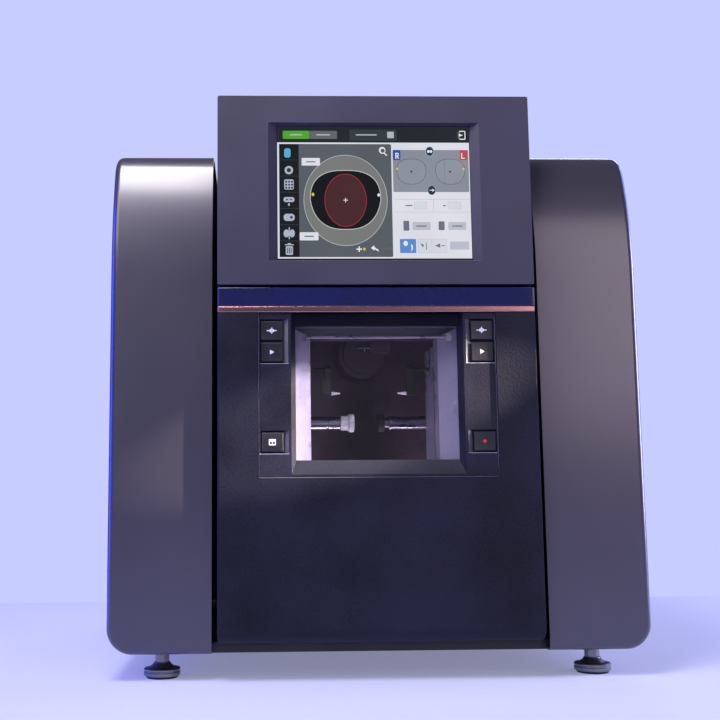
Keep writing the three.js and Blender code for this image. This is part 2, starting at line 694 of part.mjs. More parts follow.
// Display front frame: a splayed recess round the screen and a pocket behind it
function displayBezel() {
  const outline = roundedRectangle([-CENTRE_X, CENTRE_X], [DISPLAY_BOTTOM, HEIGHT], DISPLAY_CORNER);
  const plate = prism('y', outline, [FRONT, FRONT + DISPLAY_FRAME_DEEP]);
  const recess = funnel(
    [-SCREEN_HALF - SCREEN_BEVEL_SIDE, SCREEN_HALF + SCREEN_BEVEL_SIDE],
    [SCREEN_BOTTOM - SCREEN_BEVEL_END, SCREEN_TOP + SCREEN_BEVEL_END],
    FRONT,
    [-SCREEN_HALF, SCREEN_HALF], [SCREEN_BOTTOM, SCREEN_TOP], FRONT + SCREEN_SINK,
  );
  const reach = SCREEN_HALF + SCREEN_BORDER + SEAT;
  const pocketBehind = block(
    [-reach, reach],
    [FRONT + SCREEN_SINK - SEAT, FRONT + DISPLAY_DEEP_BOTTOM],
    [SCREEN_BOTTOM - SCREEN_BORDER - SEAT, SCREEN_TOP + SCREEN_BORDER + SEAT],
  );
  return cutFrom(plate, recess, pocketBehind);
}

function lcdScreen() {
  const reach = SCREEN_HALF + SCREEN_BORDER;
  return block(
    [-reach, reach],
    [FRONT + SCREEN_SINK, FRONT + SCREEN_SINK + SCREEN_THICK],
    [SCREEN_BOTTOM - SCREEN_BORDER, SCREEN_TOP + SCREEN_BORDER],
  );
}

// Display rear cover: a wedge, deep below and thin above, with slots for the hinge ears
function rearCoverProfile(inset) {
  const front = FRONT + DISPLAY_FRAME_DEEP + SEAT - (inset > 0 ? OVERRUN : 0);
  return polygon([
    [front, DISPLAY_BOTTOM + inset],
    [FRONT + DISPLAY_DEEP_BOTTOM - inset, DISPLAY_BOTTOM + inset],
    [FRONT + DISPLAY_DEEP_TOP - inset, HEIGHT - inset],
    [front, HEIGHT - inset],
  ]);
}

function displayRearCover() {
  const half = CENTRE_X;
  const outer = prism('x', rearCoverProfile(0), [-half, half]);
  const inner = prism('x', rearCoverProfile(DISPLAY_WALL), [-half + DISPLAY_WALL, half - DISPLAY_WALL]);
  const slots = [];
  const pins = [];
  for (const x of [-HINGE_X, HINGE_X]) {
    const slotHalf = EAR_THICK / 2 + 3 * RUN;
    const slotX = [x - slotHalf, x + slotHalf];
    slots.push(block(slotX, [HINGE_Y - HINGE_LUG_R * 2, 0], [0, DISPLAY_BOTTOM + EAR_SLOT_HIGH]));
    const pinX = [x - HINGE_PIN_LONG / 2, x + HINGE_PIN_LONG / 2];
    pins.push(bar('x', HINGE_PIN_R, pinX, [HINGE_Y, HINGE_Z], SMALL_SIDES));
    for (const side of [-1, 1]) {
      const inside = x + side * slotHalf;
      const outside = x + side * (HINGE_PIN_LONG / 2);
      const lugX = [Math.min(inside, outside), Math.max(inside, outside)];
      const lugY = [HINGE_Y - HINGE_LUG_R, HINGE_Y + HINGE_LUG_R];
      pins.push(block(lugX, lugY, [DISPLAY_BOTTOM, HINGE_Z + HINGE_LUG_R]));
    }
  }
  return joined(cutFrom(outer, inner, ...slots), ...pins.map((pin) => pin.intersect(outer)));
}

// Display bracket: a cross beam between the frame plates with two ears for the hinge pins
function displayBracket() {
  const half = PLATE_IN - SEAT;
  const beamBack = BEAM_FRONT + BEAM_DEEP;
  const beamTop = BEAM_BOTTOM + BEAM_HIGH;
  const ears = [-HINGE_X, HINGE_X].map((x) => {
    const earX = [x - EAR_THICK / 2, x + EAR_THICK / 2];
    const arm = block(earX, [HINGE_Y, beamBack], [HINGE_Z - HINGE_LUG_R, HINGE_Z + HINGE_LUG_R / 2]);
    const eye = bar('x', HINGE_LUG_R, earX, [HINGE_Y, HINGE_Z], SMALL_SIDES);
    const bore = bar('x', HINGE_PIN_R + RUN, earX.map((edge, end) => edge + (end ? OVERRUN : -OVERRUN)),
      [HINGE_Y, HINGE_Z], SMALL_SIDES);
    return cutFrom(arm.add(eye), bore);
  });
  return joined(block([-half, half], [BEAM_FRONT, beamBack], [BEAM_BOTTOM, beamTop]), ...ears);
}

// Frame plate: an upright steel sheet, stepped behind the display, with flanges and openings
function frameOutline() {
  const back = REAR_PANEL_IN - SEAT;
  const apronBack = APRON_TOP_Y + TOP_COVER_WALL + SEAT;
  const low = TRAY_TOP + SEAT;
  return polygon([
    [PLATE_FRONT, low], [back, low], [back, PLATE_TOP - TOP_ROUND], [back - TOP_ROUND, PLATE_TOP],
    [apronBack + TOP_ROUND, PLATE_TOP], [apronBack, PLATE_TOP - TOP_ROUND],
    [apronBack, APRON_BOTTOM - SEAT * 4], [BEAM_FRONT, APRON_BOTTOM - SEAT * 4],
    [BEAM_FRONT, BEZEL_TOP], [PLATE_FRONT, BEZEL_TOP],
  ]);
}

function framePlate(withClampHole) {
  const back = REAR_PANEL_IN - SEAT;
  const low = TRAY_TOP + SEAT;
  const flangeX = [PLATE_IN, CENTRE_X - PANEL_WALL - SEAT];
  const frontFlange = block(flangeX, [PLATE_FRONT, PLATE_FRONT + FLANGE_THICK], [low, BEZEL_TOP]);
  const rearFlange = block(flangeX, [back - FLANGE_THICK, back], [low, SKIRT_BOTTOM]);
  const sheet = prism('x', frameOutline(), [PLATE_IN, PLATE_IN + PLATE_THICK]);
  const hole = (y, z) => prism('x', roundedRectangle(y, z, FRAME_HOLE_R), [0, CENTRE_X]);
  const openings = [
    hole([PLATE_FRONT + PANEL_RETURN, SHAFT_Y], [TRAY_TOP + BAND_DEEP, CARRIAGE_BOTTOM - LEG_WIDE]),
    hole([GUIDE_ROD_Y + LUG_SIZE, back - PANEL_RETURN], [BARB_WATER_Z, SKIRT_BOTTOM - PANEL_RETURN]),
    hole([SHAFT_Y, GUIDE_ROD_Y], [SKIRT_BOTTOM - PANEL_RETURN * 2, SKIRT_BOTTOM]),
  ];
  if (withClampHole) {
    const reach = CLAMP_HOUSING_R + PORT_GAP;
    openings.push(hole([SHAFT_Y - reach, SHAFT_Y + reach],
      [SHAFT_Z - LIFT_DOWN - reach, SHAFT_Z + LIFT_UP + reach]));
  }
  return cutFrom(joined(sheet, frontFlange, rearFlange), ...openings);
}

// Top cover: apron, flat top and low skirts in one folded shell
function topProfile(inset) {
  const top = TOP_COVER_Z - inset;
  const back = TOP_COVER_BACK - inset;
  const round = TOP_ROUND - inset;
  const shape = new THREE.Shape();
  shape.moveTo(APRON_TOP_Y - (APRON_TOP_Y - APRON_FOOT_Y) / 2 + inset, SKIRT_BOTTOM - inset);
  shape.lineTo(APRON_TOP_Y + inset, TOP_COVER_Z - TOP_ROUND);
  shape.absarc(APRON_TOP_Y + TOP_ROUND, TOP_COVER_Z - TOP_ROUND, round, Math.PI, Math.PI / 2, true);
  shape.lineTo(back - round, top);
  shape.absarc(TOP_COVER_BACK - TOP_ROUND, TOP_COVER_Z - TOP_ROUND, round, Math.PI / 2, 0, true);
  shape.lineTo(back, SKIRT_BOTTOM - inset);
  return shape;
}

function topCover() {
  const half = CENTRE_X;
  const outer = prism('x', topProfile(0), [-half, half]);
  const wall = TOP_COVER_WALL;
  const inner = prism('x', topProfile(wall), [-half + wall, half - wall]);
  const kneeY = APRON_TOP_Y - (APRON_TOP_Y - APRON_FOOT_Y) / 2;
  const apron = prism('x', polygon([
    [APRON_FOOT_Y, APRON_BOTTOM], [APRON_FOOT_Y + wall, APRON_BOTTOM],
    [kneeY + wall, SKIRT_BOTTOM + wall], [kneeY, SKIRT_BOTTOM],
  ]), [-half, half]);
  return outer.subtract(inner).add(apron);
}

// Rear panel with its fan guard, vent slots and cut-outs for the connections
function fanGuard() {
  const reach = [REAR_PANEL_IN - OVERRUN, COVER_BACK + OVERRUN];
  const ring = (radius) => bar('y', radius, reach, [FAN_X, FAN_Z], ROUND_SIDES);
  const open = GUARD_RINGS.map((radius) => ring(radius + GUARD_WIRE).subtract(ring(radius)));
  const spokes = [0, 1].map((quarter) => {
    const across = [FAN_X - (quarter ? FAN_R : GUARD_WIRE / 2), FAN_X + (quarter ? FAN_R : GUARD_WIRE / 2)];
    const up = [FAN_Z - (quarter ? GUARD_WIRE / 2 : FAN_R), FAN_Z + (quarter ? GUARD_WIRE / 2 : FAN_R)];
    return block(across, reach, up);
  });
  return cutFrom(joined(...open), ...spokes);
}

function rearPanel() {
  const reach = [REAR_PANEL_IN - OVERRUN, COVER_BACK + OVERRUN];
  const sheet = block([-CENTRE_X, CENTRE_X], [REAR_PANEL_IN, COVER_BACK],
    [TRAY_TOP + SEAT, SKIRT_BOTTOM - SEAT]);
  const cuts = [fanGuard()];
  for (let row = 0; row < VENT_ROWS; row += 1) {
    const low = VENT_BOTTOM + row * VENT_STEP;
    cuts.push(block([VENT_X - VENT_WIDE / 2, VENT_X + VENT_WIDE / 2], reach, [low, low + VENT_HIGH]));
  }
  const around = (centre, size) => [centre - size / 2 - SEAT, centre + size / 2 + SEAT];
  cuts.push(block(around(INLET_X, INLET_SIZE[0]), reach, around(INLET_Z, INLET_SIZE[1])));
  cuts.push(block(around(SWITCH_X, SWITCH_SIZE[0]), reach, around(INLET_Z, SWITCH_SIZE[1])));
  for (const z of [BARB_WATER_Z, BARB_DRAIN_Z]) {
    cuts.push(bar('y', DRAIN_PIPE_R + SEAT, reach, [BARB_X, z], SMALL_SIDES));
  }
  return cutFrom(sheet, ...cuts);
}

// Chamber hood: the light splayed reveal behind the door glass
function chamberHood() {
  const half = CHAMBER_OUT;
  const outerZ = [HOOD_FRONT_Z[0] - HOOD_MARGIN, HOOD_FRONT_Z[1] + HOOD_MARGIN];
  const throatX = [-HOOD_THROAT_HALF, HOOD_THROAT_HALF];
  const splayEnd = HOOD_FRONT + HOOD_SPLAY_DEEP;
  const frontX = [-HOOD_FRONT_HALF, HOOD_FRONT_HALF];
  const body = block([-HOOD_FRONT_HALF - GUIDE_WALL, HOOD_FRONT_HALF + GUIDE_WALL],
    [HOOD_FRONT, splayEnd], outerZ);
  const plate = block([-half, half], [splayEnd, HOOD_BACK], outerZ);
  const splay = funnel(frontX, HOOD_FRONT_Z, HOOD_FRONT, throatX, HOOD_THROAT_Z, splayEnd);
  const throat = block(throatX, [splayEnd - SEAT, HOOD_BACK + OVERRUN], HOOD_THROAT_Z);
  const room = block([-half + CHAMBER_WALL, half - CHAMBER_WALL],
    [splayEnd + CHAMBER_WALL, HOOD_BACK + OVERRUN],
    [outerZ[0] + CHAMBER_WALL, outerZ[1] - CHAMBER_WALL]);
  const lining = block([throatX[0] - GUIDE_WALL, throatX[1] + GUIDE_WALL],
    [splayEnd, HOOD_BACK], [HOOD_THROAT_Z[0] - GUIDE_WALL, HOOD_THROAT_Z[1] + GUIDE_WALL]);
  return cutFrom(joined(body, plate.subtract(room), lining), splay, throat);
}

// Chamber tub: closed box with a sloping floor, shaft slots, bushes for the feelers and a stand
function chamberTub() {
  const half = CHAMBER_OUT;
  const wall = CHAMBER_WALL;
  const outer = prism('y', roundedRectangle([-half, half], [CHAMBER_FLOOR - CHAMBER_FALL - wall,
    CHAMBER_CEILING + wall], CHAMBER_CORNER), [CHAMBER_FRONT, CHAMBER_REAR + wall]);
  const floor = polygon([
    [-CHAMBER_HALF, CHAMBER_FLOOR + CHAMBER_FALL], [CHAMBER_HALF, CHAMBER_FLOOR - CHAMBER_FALL],
    [CHAMBER_HALF, CHAMBER_CEILING], [-CHAMBER_HALF, CHAMBER_CEILING],
  ]);
  const inner = prism('y', floor, [CHAMBER_FRONT + wall, CHAMBER_REAR]);
  const mouth = block([-HOOD_THROAT_HALF, HOOD_THROAT_HALF],
    [CHAMBER_FRONT - OVERRUN, CHAMBER_FRONT + wall + SEAT], HOOD_THROAT_Z);
  const across = [-half - OVERRUN, half + OVERRUN];
  const slot = block(across, [SHAFT_Y - WALL_SLOT_HALF, SHAFT_Y + WALL_SLOT_HALF],
    [SHAFT_Z - LIFT_DOWN - WALL_SLOT_HALF, SHAFT_Z + LIFT_UP + WALL_SLOT_HALF]);
  const bushes = bar('x', FEELER_BUSH_R, across, [FEELER_Y, FEELER_Z], SMALL_SIDES);
  const spindleHole = bar('x', SPINDLE_R + wall, [-half - OVERRUN, 0], [WHEEL_Y, WHEEL_Z]);
  const toolHole = bar('y', TOOL_SHAFT_R + RUN, [CHAMBER_REAR - wall, OVERRUN], [TOOL_X, TOOL_Z]);
  const drain = bar('z', DRAIN_R, [0, CHAMBER_FLOOR], [DRAIN_X, DRAIN_Y], SMALL_SIDES);
  const legs = [];
  for (const x of [[-half + CHAMBER_CORNER, -half + CHAMBER_CORNER + LEG_WIDE],
    [half - CHAMBER_CORNER - LEG_WIDE, half - CHAMBER_CORNER]]) {
    for (const y of [CHAMBER_FRONT, CHAMBER_REAR + wall - LEG_WIDE]) {
      const top = CHAMBER_FLOOR - CHAMBER_FALL - wall / 2;
      legs.push(block(x, [y, y + LEG_WIDE], [TRAY_TOP + SEAT, top]));
    }
  }
  return cutFrom(joined(outer, ...legs), inner, mouth, slot, bushes, spindleHole, toolHole, drain);
}

// Inspection plate on the rear wall, with a domed top and two thumb screws
function inspectionPlate() {
  const [knobR, knobDeep] = THUMB_SCREW;
  const radius = HATCH_WIDE / 2;
  const front = CHAMBER_REAR - SEAT - HATCH_THICK;
  const reach = [front, CHAMBER_REAR - SEAT];
  const plate = block([HATCH_X - radius, HATCH_X + radius], reach, [HATCH_Z, HATCH_Z + HATCH_HIGH]);
  const dome = bar('y', radius, reach, [HATCH_X, HATCH_Z + HATCH_HIGH], ROUND_SIDES);
  const screws = [-1, 1].map((side) => bar('y', knobR, [front - knobDeep, front],
    [HATCH_X + side * (radius - knobR / 2), HATCH_Z + HATCH_HIGH], SMALL_SIDES));
  return joined(plate, dome, ...screws);
}

// Door: glass pane, carrier with its nut, pull rail, side guides and lead screw
function doorGlass() {
  const outline = roundedRectangle([-GLASS_HALF, GLASS_HALF], [GLASS_BOTTOM, GLASS_TOP], GLASS_CORNER);
  return prism('y', outline, [GLASS_Y, GLASS_Y + GLASS_THICK]);
}

function doorRail() {
  const y = GLASS_Y - SEAT - RAIL_R;
  const [clipWide, clipHigh] = CLIP_SIZE;
  const clips = [-CLIP_X, CLIP_X].map((x) => block([x - clipWide / 2, x + clipWide / 2],
    [y - RAIL_R, GLASS_Y - SEAT], [RAIL_Z - clipHigh / 2, RAIL_Z + clipHigh / 2]));
  return joined(bar('x', RAIL_R, [-RAIL_HALF, RAIL_HALF], [y, RAIL_Z], SMALL_SIDES), ...clips);
}

function doorCarrier() {
  const top = GLASS_BOTTOM - SEAT;
  const strip = block([-GLASS_HALF, GLASS_HALF], [GLASS_Y, GLASS_Y + GLASS_THICK], [top - CARRIER_HIGH, top]);
  const lugX = [GLASS_HALF - CARRIER_LUG, DOOR_SCREW_X + CARRIER_LUG];
  const below = HOOD_FRONT_Z[0] - HOOD_MARGIN - SEAT;
  const lug = block(lugX, [GLASS_Y, DOOR_SCREW_Y + CARRIER_LUG], [below - CARRIER_LUG_HIGH, below]);
  const bore = bar('z', DOOR_SCREW_R + RUN, [0, HEIGHT], [DOOR_SCREW_X, DOOR_SCREW_Y], SMALL_SIDES);
  const link = block([lugX[0], GLASS_HALF], [GLASS_Y, GLASS_Y + GLASS_THICK],
    [below - CARRIER_LUG_HIGH, top]);
  return joined(strip, lug, link).subtract(bore);
}

// Two grooved guides on a cross bar, with the lead screw's motor on its right end
function doorGuides() {
  const barY = [FRONT + PANEL_CURL + SEAT, DOOR_SCREW_Y + DOOR_SCREW_R];
  const barZ = [PANEL_BOTTOM + PANEL_WALL + SEAT, DOOR_MOTOR_TOP - CARRIER_LUG];
  const levels = [barZ[0] + PANEL_BEVEL, HEADER_BOTTOM];
  const y = [GLASS_Y - SEAT - GUIDE_LIP, HOOD_FRONT - SEAT];
  const inner = GLASS_HALF - GUIDE_SLOT / 2;
  const outer = GLASS_HALF + SEAT + GUIDE_WALL;
  const slotY = [GLASS_Y - SEAT, GLASS_Y + GLASS_THICK + SEAT];
  const hoodFoot = HOOD_FRONT_Z[0] - HOOD_MARGIN;
  const channels = [-1, 1].map((side) => {
    const ordered = (near, far) => (side > 0 ? [near, far] : [-far, -near]);
    const channel = block(ordered(inner, outer), y, levels);
    const slot = block(ordered(0, GLASS_HALF + SEAT), slotY, [0, HEIGHT]);
    const lugWay = block(ordered(0, outer + OVERRUN), [GLASS_Y - SEAT, 0], [DOOR_MOTOR_TOP, hoodFoot]);
    const opened = channel.subtract(slot);
    return side > 0 ? opened.subtract(lugWay) : opened;
  });
  const half = DOOR_MOTOR_SIZE / 2;
  const motor = roundedRectangle([DOOR_SCREW_X - half, DOOR_SCREW_X + half],
    [barY[0], barY[0] + DOOR_MOTOR_SIZE], PANEL_BEVEL);
  const cross = block([-outer, outer], [y[1] - GUIDE_LIP * 2, barY[1]], barZ);
  const bore = bar('z', DOOR_SCREW_R + RUN, [barZ[1], HEIGHT], [DOOR_SCREW_X, DOOR_SCREW_Y], SMALL_SIDES);
  return joined(...channels, cross, prism('z', motor, [barZ[0], DOOR_MOTOR_TOP])).subtract(bore);
}

function doorScrew() {
  const low = DOOR_MOTOR_TOP - CARRIER_LUG + SEAT;
  const high = HOOD_FRONT_Z[0] - HOOD_MARGIN - SEAT;
  return bar('z', DOOR_SCREW_R, [low, high], [DOOR_SCREW_X, DOOR_SCREW_Y], SMALL_SIDES);
}

// Lens head: two arms beside the chamber and the bridge behind it
function lensHead() {
  const half = ARM_HIGH / 2;
  const armZ = [SHAFT_Z - half, SHAFT_Z + half];
  const outline = roundedRectangle([ARM_FRONT, BRIDGE_BACK], armZ, ARM_ROUND);
  const rightArm = prism('x', outline, [ARM_IN, ARM_OUT], PANEL_BEVEL);
  const leftArm = prism('x', outline, [-ARM_OUT, -ARM_IN], PANEL_BEVEL);
  const bridge = block([-ARM_OUT + LEG_WIDE, ARM_OUT - LEG_WIDE], [BRIDGE_FRONT, BRIDGE_BACK],
    [armZ[0] + PANEL_BEVEL, armZ[1] - PANEL_BEVEL]);
  const housing = bar('x', CLAMP_HOUSING_R, [ARM_OUT - PANEL_BEVEL, CLAMP_HOUSING_TO], [SHAFT_Y, SHAFT_Z]);
  const quillBore = bar('x', QUILL_R + RUN, [0, QUILL_TO + SEAT], [SHAFT_Y, SHAFT_Z]);
  const shaftBore = bar('x', SHAFT_R + RUN, [0, SHAFT_END + SEAT], [SHAFT_Y, SHAFT_Z]);
  const leftBore = bar('x', SHAFT_R + RUN, [-ARM_OUT + PANEL_BEVEL, 0], [SHAFT_Y, SHAFT_Z]);
  const holes = [-COLUMN_X, COLUMN_X].map((x) => bar('z', COLUMN_R + RUN, [0, HEIGHT], [x, COLUMN_Y]));
  const nut = bar('z', LIFT_SCREW_R + RUN, [0, HEIGHT], [0, COLUMN_Y], SMALL_SIDES);
  return cutFrom(joined(leftArm, rightArm, bridge, housing), quillBore, shaftBore, leftBore, ...holes, nut);
}

function leftShaft() {
  const end = LENS_X - LENS_GAP_HALF - CUP_LONG - SEAT;
  const far = -ARM_OUT + PANEL_BEVEL + SEAT;
  const grooveTo = end + SEAT - GROOVE_BEHIND;
  const grooveFrom = grooveTo - GROOVE_WIDE;
  const profile = [
    [0, far], [SHAFT_R, far], [SHAFT_R, grooveFrom], [GROOVE_R, grooveFrom], [GROOVE_R, grooveTo],
    [SHAFT_R, grooveTo], [SHAFT_R, end], [0, end],
  ];
  return turned('x', profile, [SHAFT_Y, SHAFT_Z]);
}

// Lens adapter cup: a flared cup with a scalloped rim
function adapterCup() {
  const mouth = LENS_X - LENS_GAP_HALF;
  const from = mouth - CUP_LONG;
  const rimFrom = mouth - CUP_LONG / 3;
  const profile = [
    [0, from], [CUP_NECK_R, from], [CUP_NECK_R, rimFrom - CUP_LONG / 6], [CUP_MOUTH_R, rimFrom],
    [CUP_MOUTH_R, mouth], [CUP_NECK_R - GROOVE_WIDE, mouth], [PAD_HUB[0], rimFrom], [0, rimFrom],
  ];
  const notches = [];
  for (let lobe = 0; lobe < CUP_LOBES; lobe += 1) {
    const angle = (lobe / CUP_LOBES) * Math.PI * 2;
    const centre = [SHAFT_Y + CUP_MOUTH_R * Math.cos(angle), SHAFT_Z + CUP_MOUTH_R * Math.sin(angle)];
    notches.push(bar('x', GROOVE_WIDE, [mouth - GROOVE_WIDE, mouth + OVERRUN], centre, HEX_SIDES));
  }
  return cutFrom(turned('x', profile, [SHAFT_Y, SHAFT_Z]), ...notches);
}

function rightShaft() {
  const [hubR, hubLong] = PAD_HUB;
  const [collarR, collarLong] = COLLAR;
  const hubFrom = LENS_X + LENS_GAP_HALF + PAD_THICK + SEAT;
  const collarFrom = hubFrom + hubLong;
  const shaftFrom = collarFrom + collarLong;
  const profile = [
    [0, hubFrom], [hubR, hubFrom], [hubR, collarFrom], [collarR, collarFrom],
    [collarR, shaftFrom], [SHAFT_R, shaftFrom], [SHAFT_R, SHAFT_END], [0, SHAFT_END],
  ];
  return turned('x', profile, [SHAFT_Y, SHAFT_Z]);
}

function clampPad() {
  const face = LENS_X + LENS_GAP_HALF;
  return bar('x', PAD_R, [face, face + PAD_THICK], [SHAFT_Y, SHAFT_Z]);
}

function clampQuill() {
  const sleeve = bar('x', QUILL_R, [QUILL_FROM, QUILL_TO], [SHAFT_Y, SHAFT_Z]);
  return sleeve.subtract(bar('x', SHAFT_R + RUN, [0, WIDTH], [SHAFT_Y, SHAFT_Z]));
}

// Carriage: rear plate, two flanges, the guide columns and bearing lugs for the cross rods
function carriage() {
  const [plateFront, plateBack] = CARRIAGE_PLATE;
  const half = [-CARRIAGE_HALF, CARRIAGE_HALF];
  const plate = block(half, CARRIAGE_PLATE, [CARRIAGE_BOTTOM, CARRIAGE_TOP]);
  const flangeY = [COLUMN_Y - COLUMN_R * 2, plateFront + SEAT];
  const low = block(half, flangeY, [CARRIAGE_BOTTOM, CARRIAGE_BOTTOM + CARRIAGE_FLANGE]);
  const high = block(half, flangeY, [CARRIAGE_TOP - CARRIAGE_FLANGE, CARRIAGE_TOP]);
  const columns = [-COLUMN_X, COLUMN_X].map((x) => (
    bar('z', COLUMN_R, [CARRIAGE_BOTTOM + SEAT, CARRIAGE_TOP - SEAT], [x, COLUMN_Y], ROUND_SIDES)
  ));
  const lugs = [];
  const bores = [];
  for (const z of GUIDE_ROD_Z) {
    bores.push(bar('x', GUIDE_ROD_R + RUN, [-WIDTH, WIDTH], [GUIDE_ROD_Y, z], ROUND_SIDES));
    for (const side of [-1, 1]) {
      const centre = side * (CARRIAGE_HALF - LUG_LONG / 2);
      lugs.push(block([centre - LUG_LONG / 2, centre + LUG_LONG / 2],
        [plateBack - SEAT, GUIDE_ROD_Y + LUG_SIZE / 2], [z - LUG_SIZE / 2, z + LUG_SIZE / 2]));
    }
  }
  const screw = bar('z', LIFT_SCREW_R + RUN, [CARRIAGE_BOTTOM + CARRIAGE_FLANGE / 2,
    CARRIAGE_TOP - CARRIAGE_FLANGE / 2], [0, COLUMN_Y], SMALL_SIDES);
  return cutFrom(joined(plate, low, high, ...columns, ...lugs), ...bores, screw);
}

function liftScrew() {
  return bar('z', LIFT_SCREW_R, [CARRIAGE_BOTTOM + CARRIAGE_FLANGE / 2 + SEAT,
    CARRIAGE_TOP - CARRIAGE_FLANGE / 2 - SEAT], [0, COLUMN_Y], SMALL_SIDES);
}

function guideRod(z) {
  const reach = PLATE_IN - SEAT;
  return bar('x', GUIDE_ROD_R, [-reach, reach], [GUIDE_ROD_Y, z]);
}

// Wheel stack: spindle with its nut, roughing wheel and grooved finishing wheel
function wheelSpindle() {
  const [nutR, nutLong] = NUT;
  const shaft = bar('x', SPINDLE_R, [SPINDLE_FROM, SPINDLE_TO], [WHEEL_Y, WHEEL_Z]);
  const nutFrom = FINE_WHEEL_X[1] + SEAT;
  const nut = bar('x', nutR, [nutFrom, nutFrom + nutLong], [WHEEL_Y, WHEEL_Z], HEX_SIDES);
  const stop = ROUGH_WHEEL_X[0] - SEAT;
  const shoulder = bar('x', nutR, [stop - nutLong / 2, stop], [WHEEL_Y, WHEEL_Z]);
  const [from, to] = PULLEY_X;
  const lip = PULLEY_R + PULLEY_LIP;
  const pulley = turned('x', [
    [0, from], [lip, from], [lip, from + PULLEY_LIP / 2], [PULLEY_R, from + PULLEY_LIP],
    [PULLEY_R, to - PULLEY_LIP], [lip, to - PULLEY_LIP / 2], [lip, to], [0, to]], [WHEEL_Y, WHEEL_Z]);
  return joined(shaft, nut, shoulder, pulley);
}

function grindingWheel([from, to], grooves) {
  const [deep, half] = BEVEL_GROOVE;
  const profile = [[SPINDLE_R + RUN, from], [WHEEL_R, from]];
  for (const share of grooves) {
    const centre = from + (to - from) * share;
    profile.push([WHEEL_R, centre - half], [WHEEL_R - deep, centre], [WHEEL_R, centre + half]);
  }
  profile.push([WHEEL_R, to], [SPINDLE_R + RUN, to], [SPINDLE_R + RUN, from]);
  return turned('x', profile, [WHEEL_Y, WHEEL_Z]);
}

function spindleBearing() {
  const reach = [BEARING_TO, -CHAMBER_OUT - SEAT];
  const housing = bar('x', BEARING_R, reach, [WHEEL_Y, WHEEL_Z]);
  const foot = block([-CHAMBER_OUT - SEAT - LEG_WIDE, -CHAMBER_OUT - SEAT],
    [WHEEL_Y - BEARING_R, WHEEL_Y + BEARING_R], [TRAY_TOP + SEAT, WHEEL_Z]);
  const bore = bar('x', SPINDLE_R + RUN, [-WIDTH, WIDTH], [WHEEL_Y, WHEEL_Z]);
  return joined(housing, foot).subtract(bore);
}

function spindleMotor() {
  const body = bar('x', MOTOR_R, [MOTOR_FROM, MOTOR_TO], [MOTOR_Y, MOTOR_Z]);
  const foot = block([MOTOR_FROM + LEG_WIDE, MOTOR_TO - LEG_WIDE],
    [MOTOR_Y - MOTOR_FOOT / 2, MOTOR_Y + MOTOR_FOOT / 2], [TRAY_TOP + SEAT, MOTOR_Z]);
  const bore = bar('x', SPINDLE_R + RUN, [MOTOR_FROM - OVERRUN, MOTOR_FROM + LEG_WIDE], [MOTOR_Y, MOTOR_Z]);
  return joined(body, foot).subtract(bore);
}

function motorPulley() {
  const [from, to] = PULLEY_X;
  const lip = MOTOR_PULLEY_R + PULLEY_LIP;
  const profile = [[0, from], [lip, from], [lip, from + PULLEY_LIP / 2], [MOTOR_PULLEY_R, from + PULLEY_LIP],
    [MOTOR_PULLEY_R, to - PULLEY_LIP], [lip, to - PULLEY_LIP / 2], [lip, to],
    [SPINDLE_R, to], [SPINDLE_R, MOTOR_FROM + LEG_WIDE - SEAT], [0, MOTOR_FROM + LEG_WIDE - SEAT]];
  return turned('x', profile, [MOTOR_Y, MOTOR_Z]);
}

// Belt: the outline round both pulleys less the same outline one belt thinner
function beltOutline(offset) {
  const dy = MOTOR_Y - WHEEL_Y;
  const dz = MOTOR_Z - WHEEL_Z;
  const lean = Math.atan2(dz, dy);
  const spread = Math.acos((PULLEY_R - MOTOR_PULLEY_R) / Math.hypot(dy, dz));
  const shape = new THREE.Shape();
  shape.absarc(WHEEL_Y, WHEEL_Z, PULLEY_R + offset, lean + spread, lean - spread + Math.PI * 2);
  shape.absarc(MOTOR_Y, MOTOR_Z, MOTOR_PULLEY_R + offset, lean - spread, lean + spread);
  return shape;
}

function driveBelt() {
  const reach = [PULLEY_X[0] + PULLEY_LIP + SEAT, PULLEY_X[1] - PULLEY_LIP - SEAT];
  const outer = prism('x', beltOutline(BELT_RUN + BELT_THICK), reach);
  return outer.subtract(prism('x', beltOutline(BELT_RUN), [reach[0] - OVERRUN, reach[1] + OVERRUN]));
}

// Feeler: a rod through the wall with a hanging arm and a pointed ceramic tip
function feeler() {
  const [armHalf, armLong] = [FEELER_ARM[0] / 2, FEELER_ARM[1]];
  const rodFrom = FEELER_ARM_X - armHalf;
  const rod = bar('x', FEELER_ROD_R, [rodFrom, FEELER_ROD_END], [FEELER_Y, FEELER_Z], SMALL_SIDES);
  const boss = bar('x', FEELER_BOSS_R, [rodFrom, rodFrom + armHalf * 2], [FEELER_Y, FEELER_Z], SMALL_SIDES);
  const sleeve = bar('x', FEELER_BOSS_R, [FEELER_ROD_END - FEELER_SLEEVE_LONG, FEELER_ROD_END],
    [FEELER_Y, FEELER_Z], SMALL_SIDES);
  const bottom = FEELER_Z - armLong;
  const arm = block([rodFrom, rodFrom + armHalf * 2], [FEELER_Y - armHalf, FEELER_Y + armHalf],
    [bottom, FEELER_Z]);
  const tip = bar('x', FEELER_TIP_R[1], [FEELER_TIP_X, rodFrom + SEAT],
    [FEELER_Y, bottom + FEELER_TIP_R[0]], SMALL_SIDES, FEELER_TIP_R[0]);
  return joined(rod, boss, sleeve, arm, tip);
}

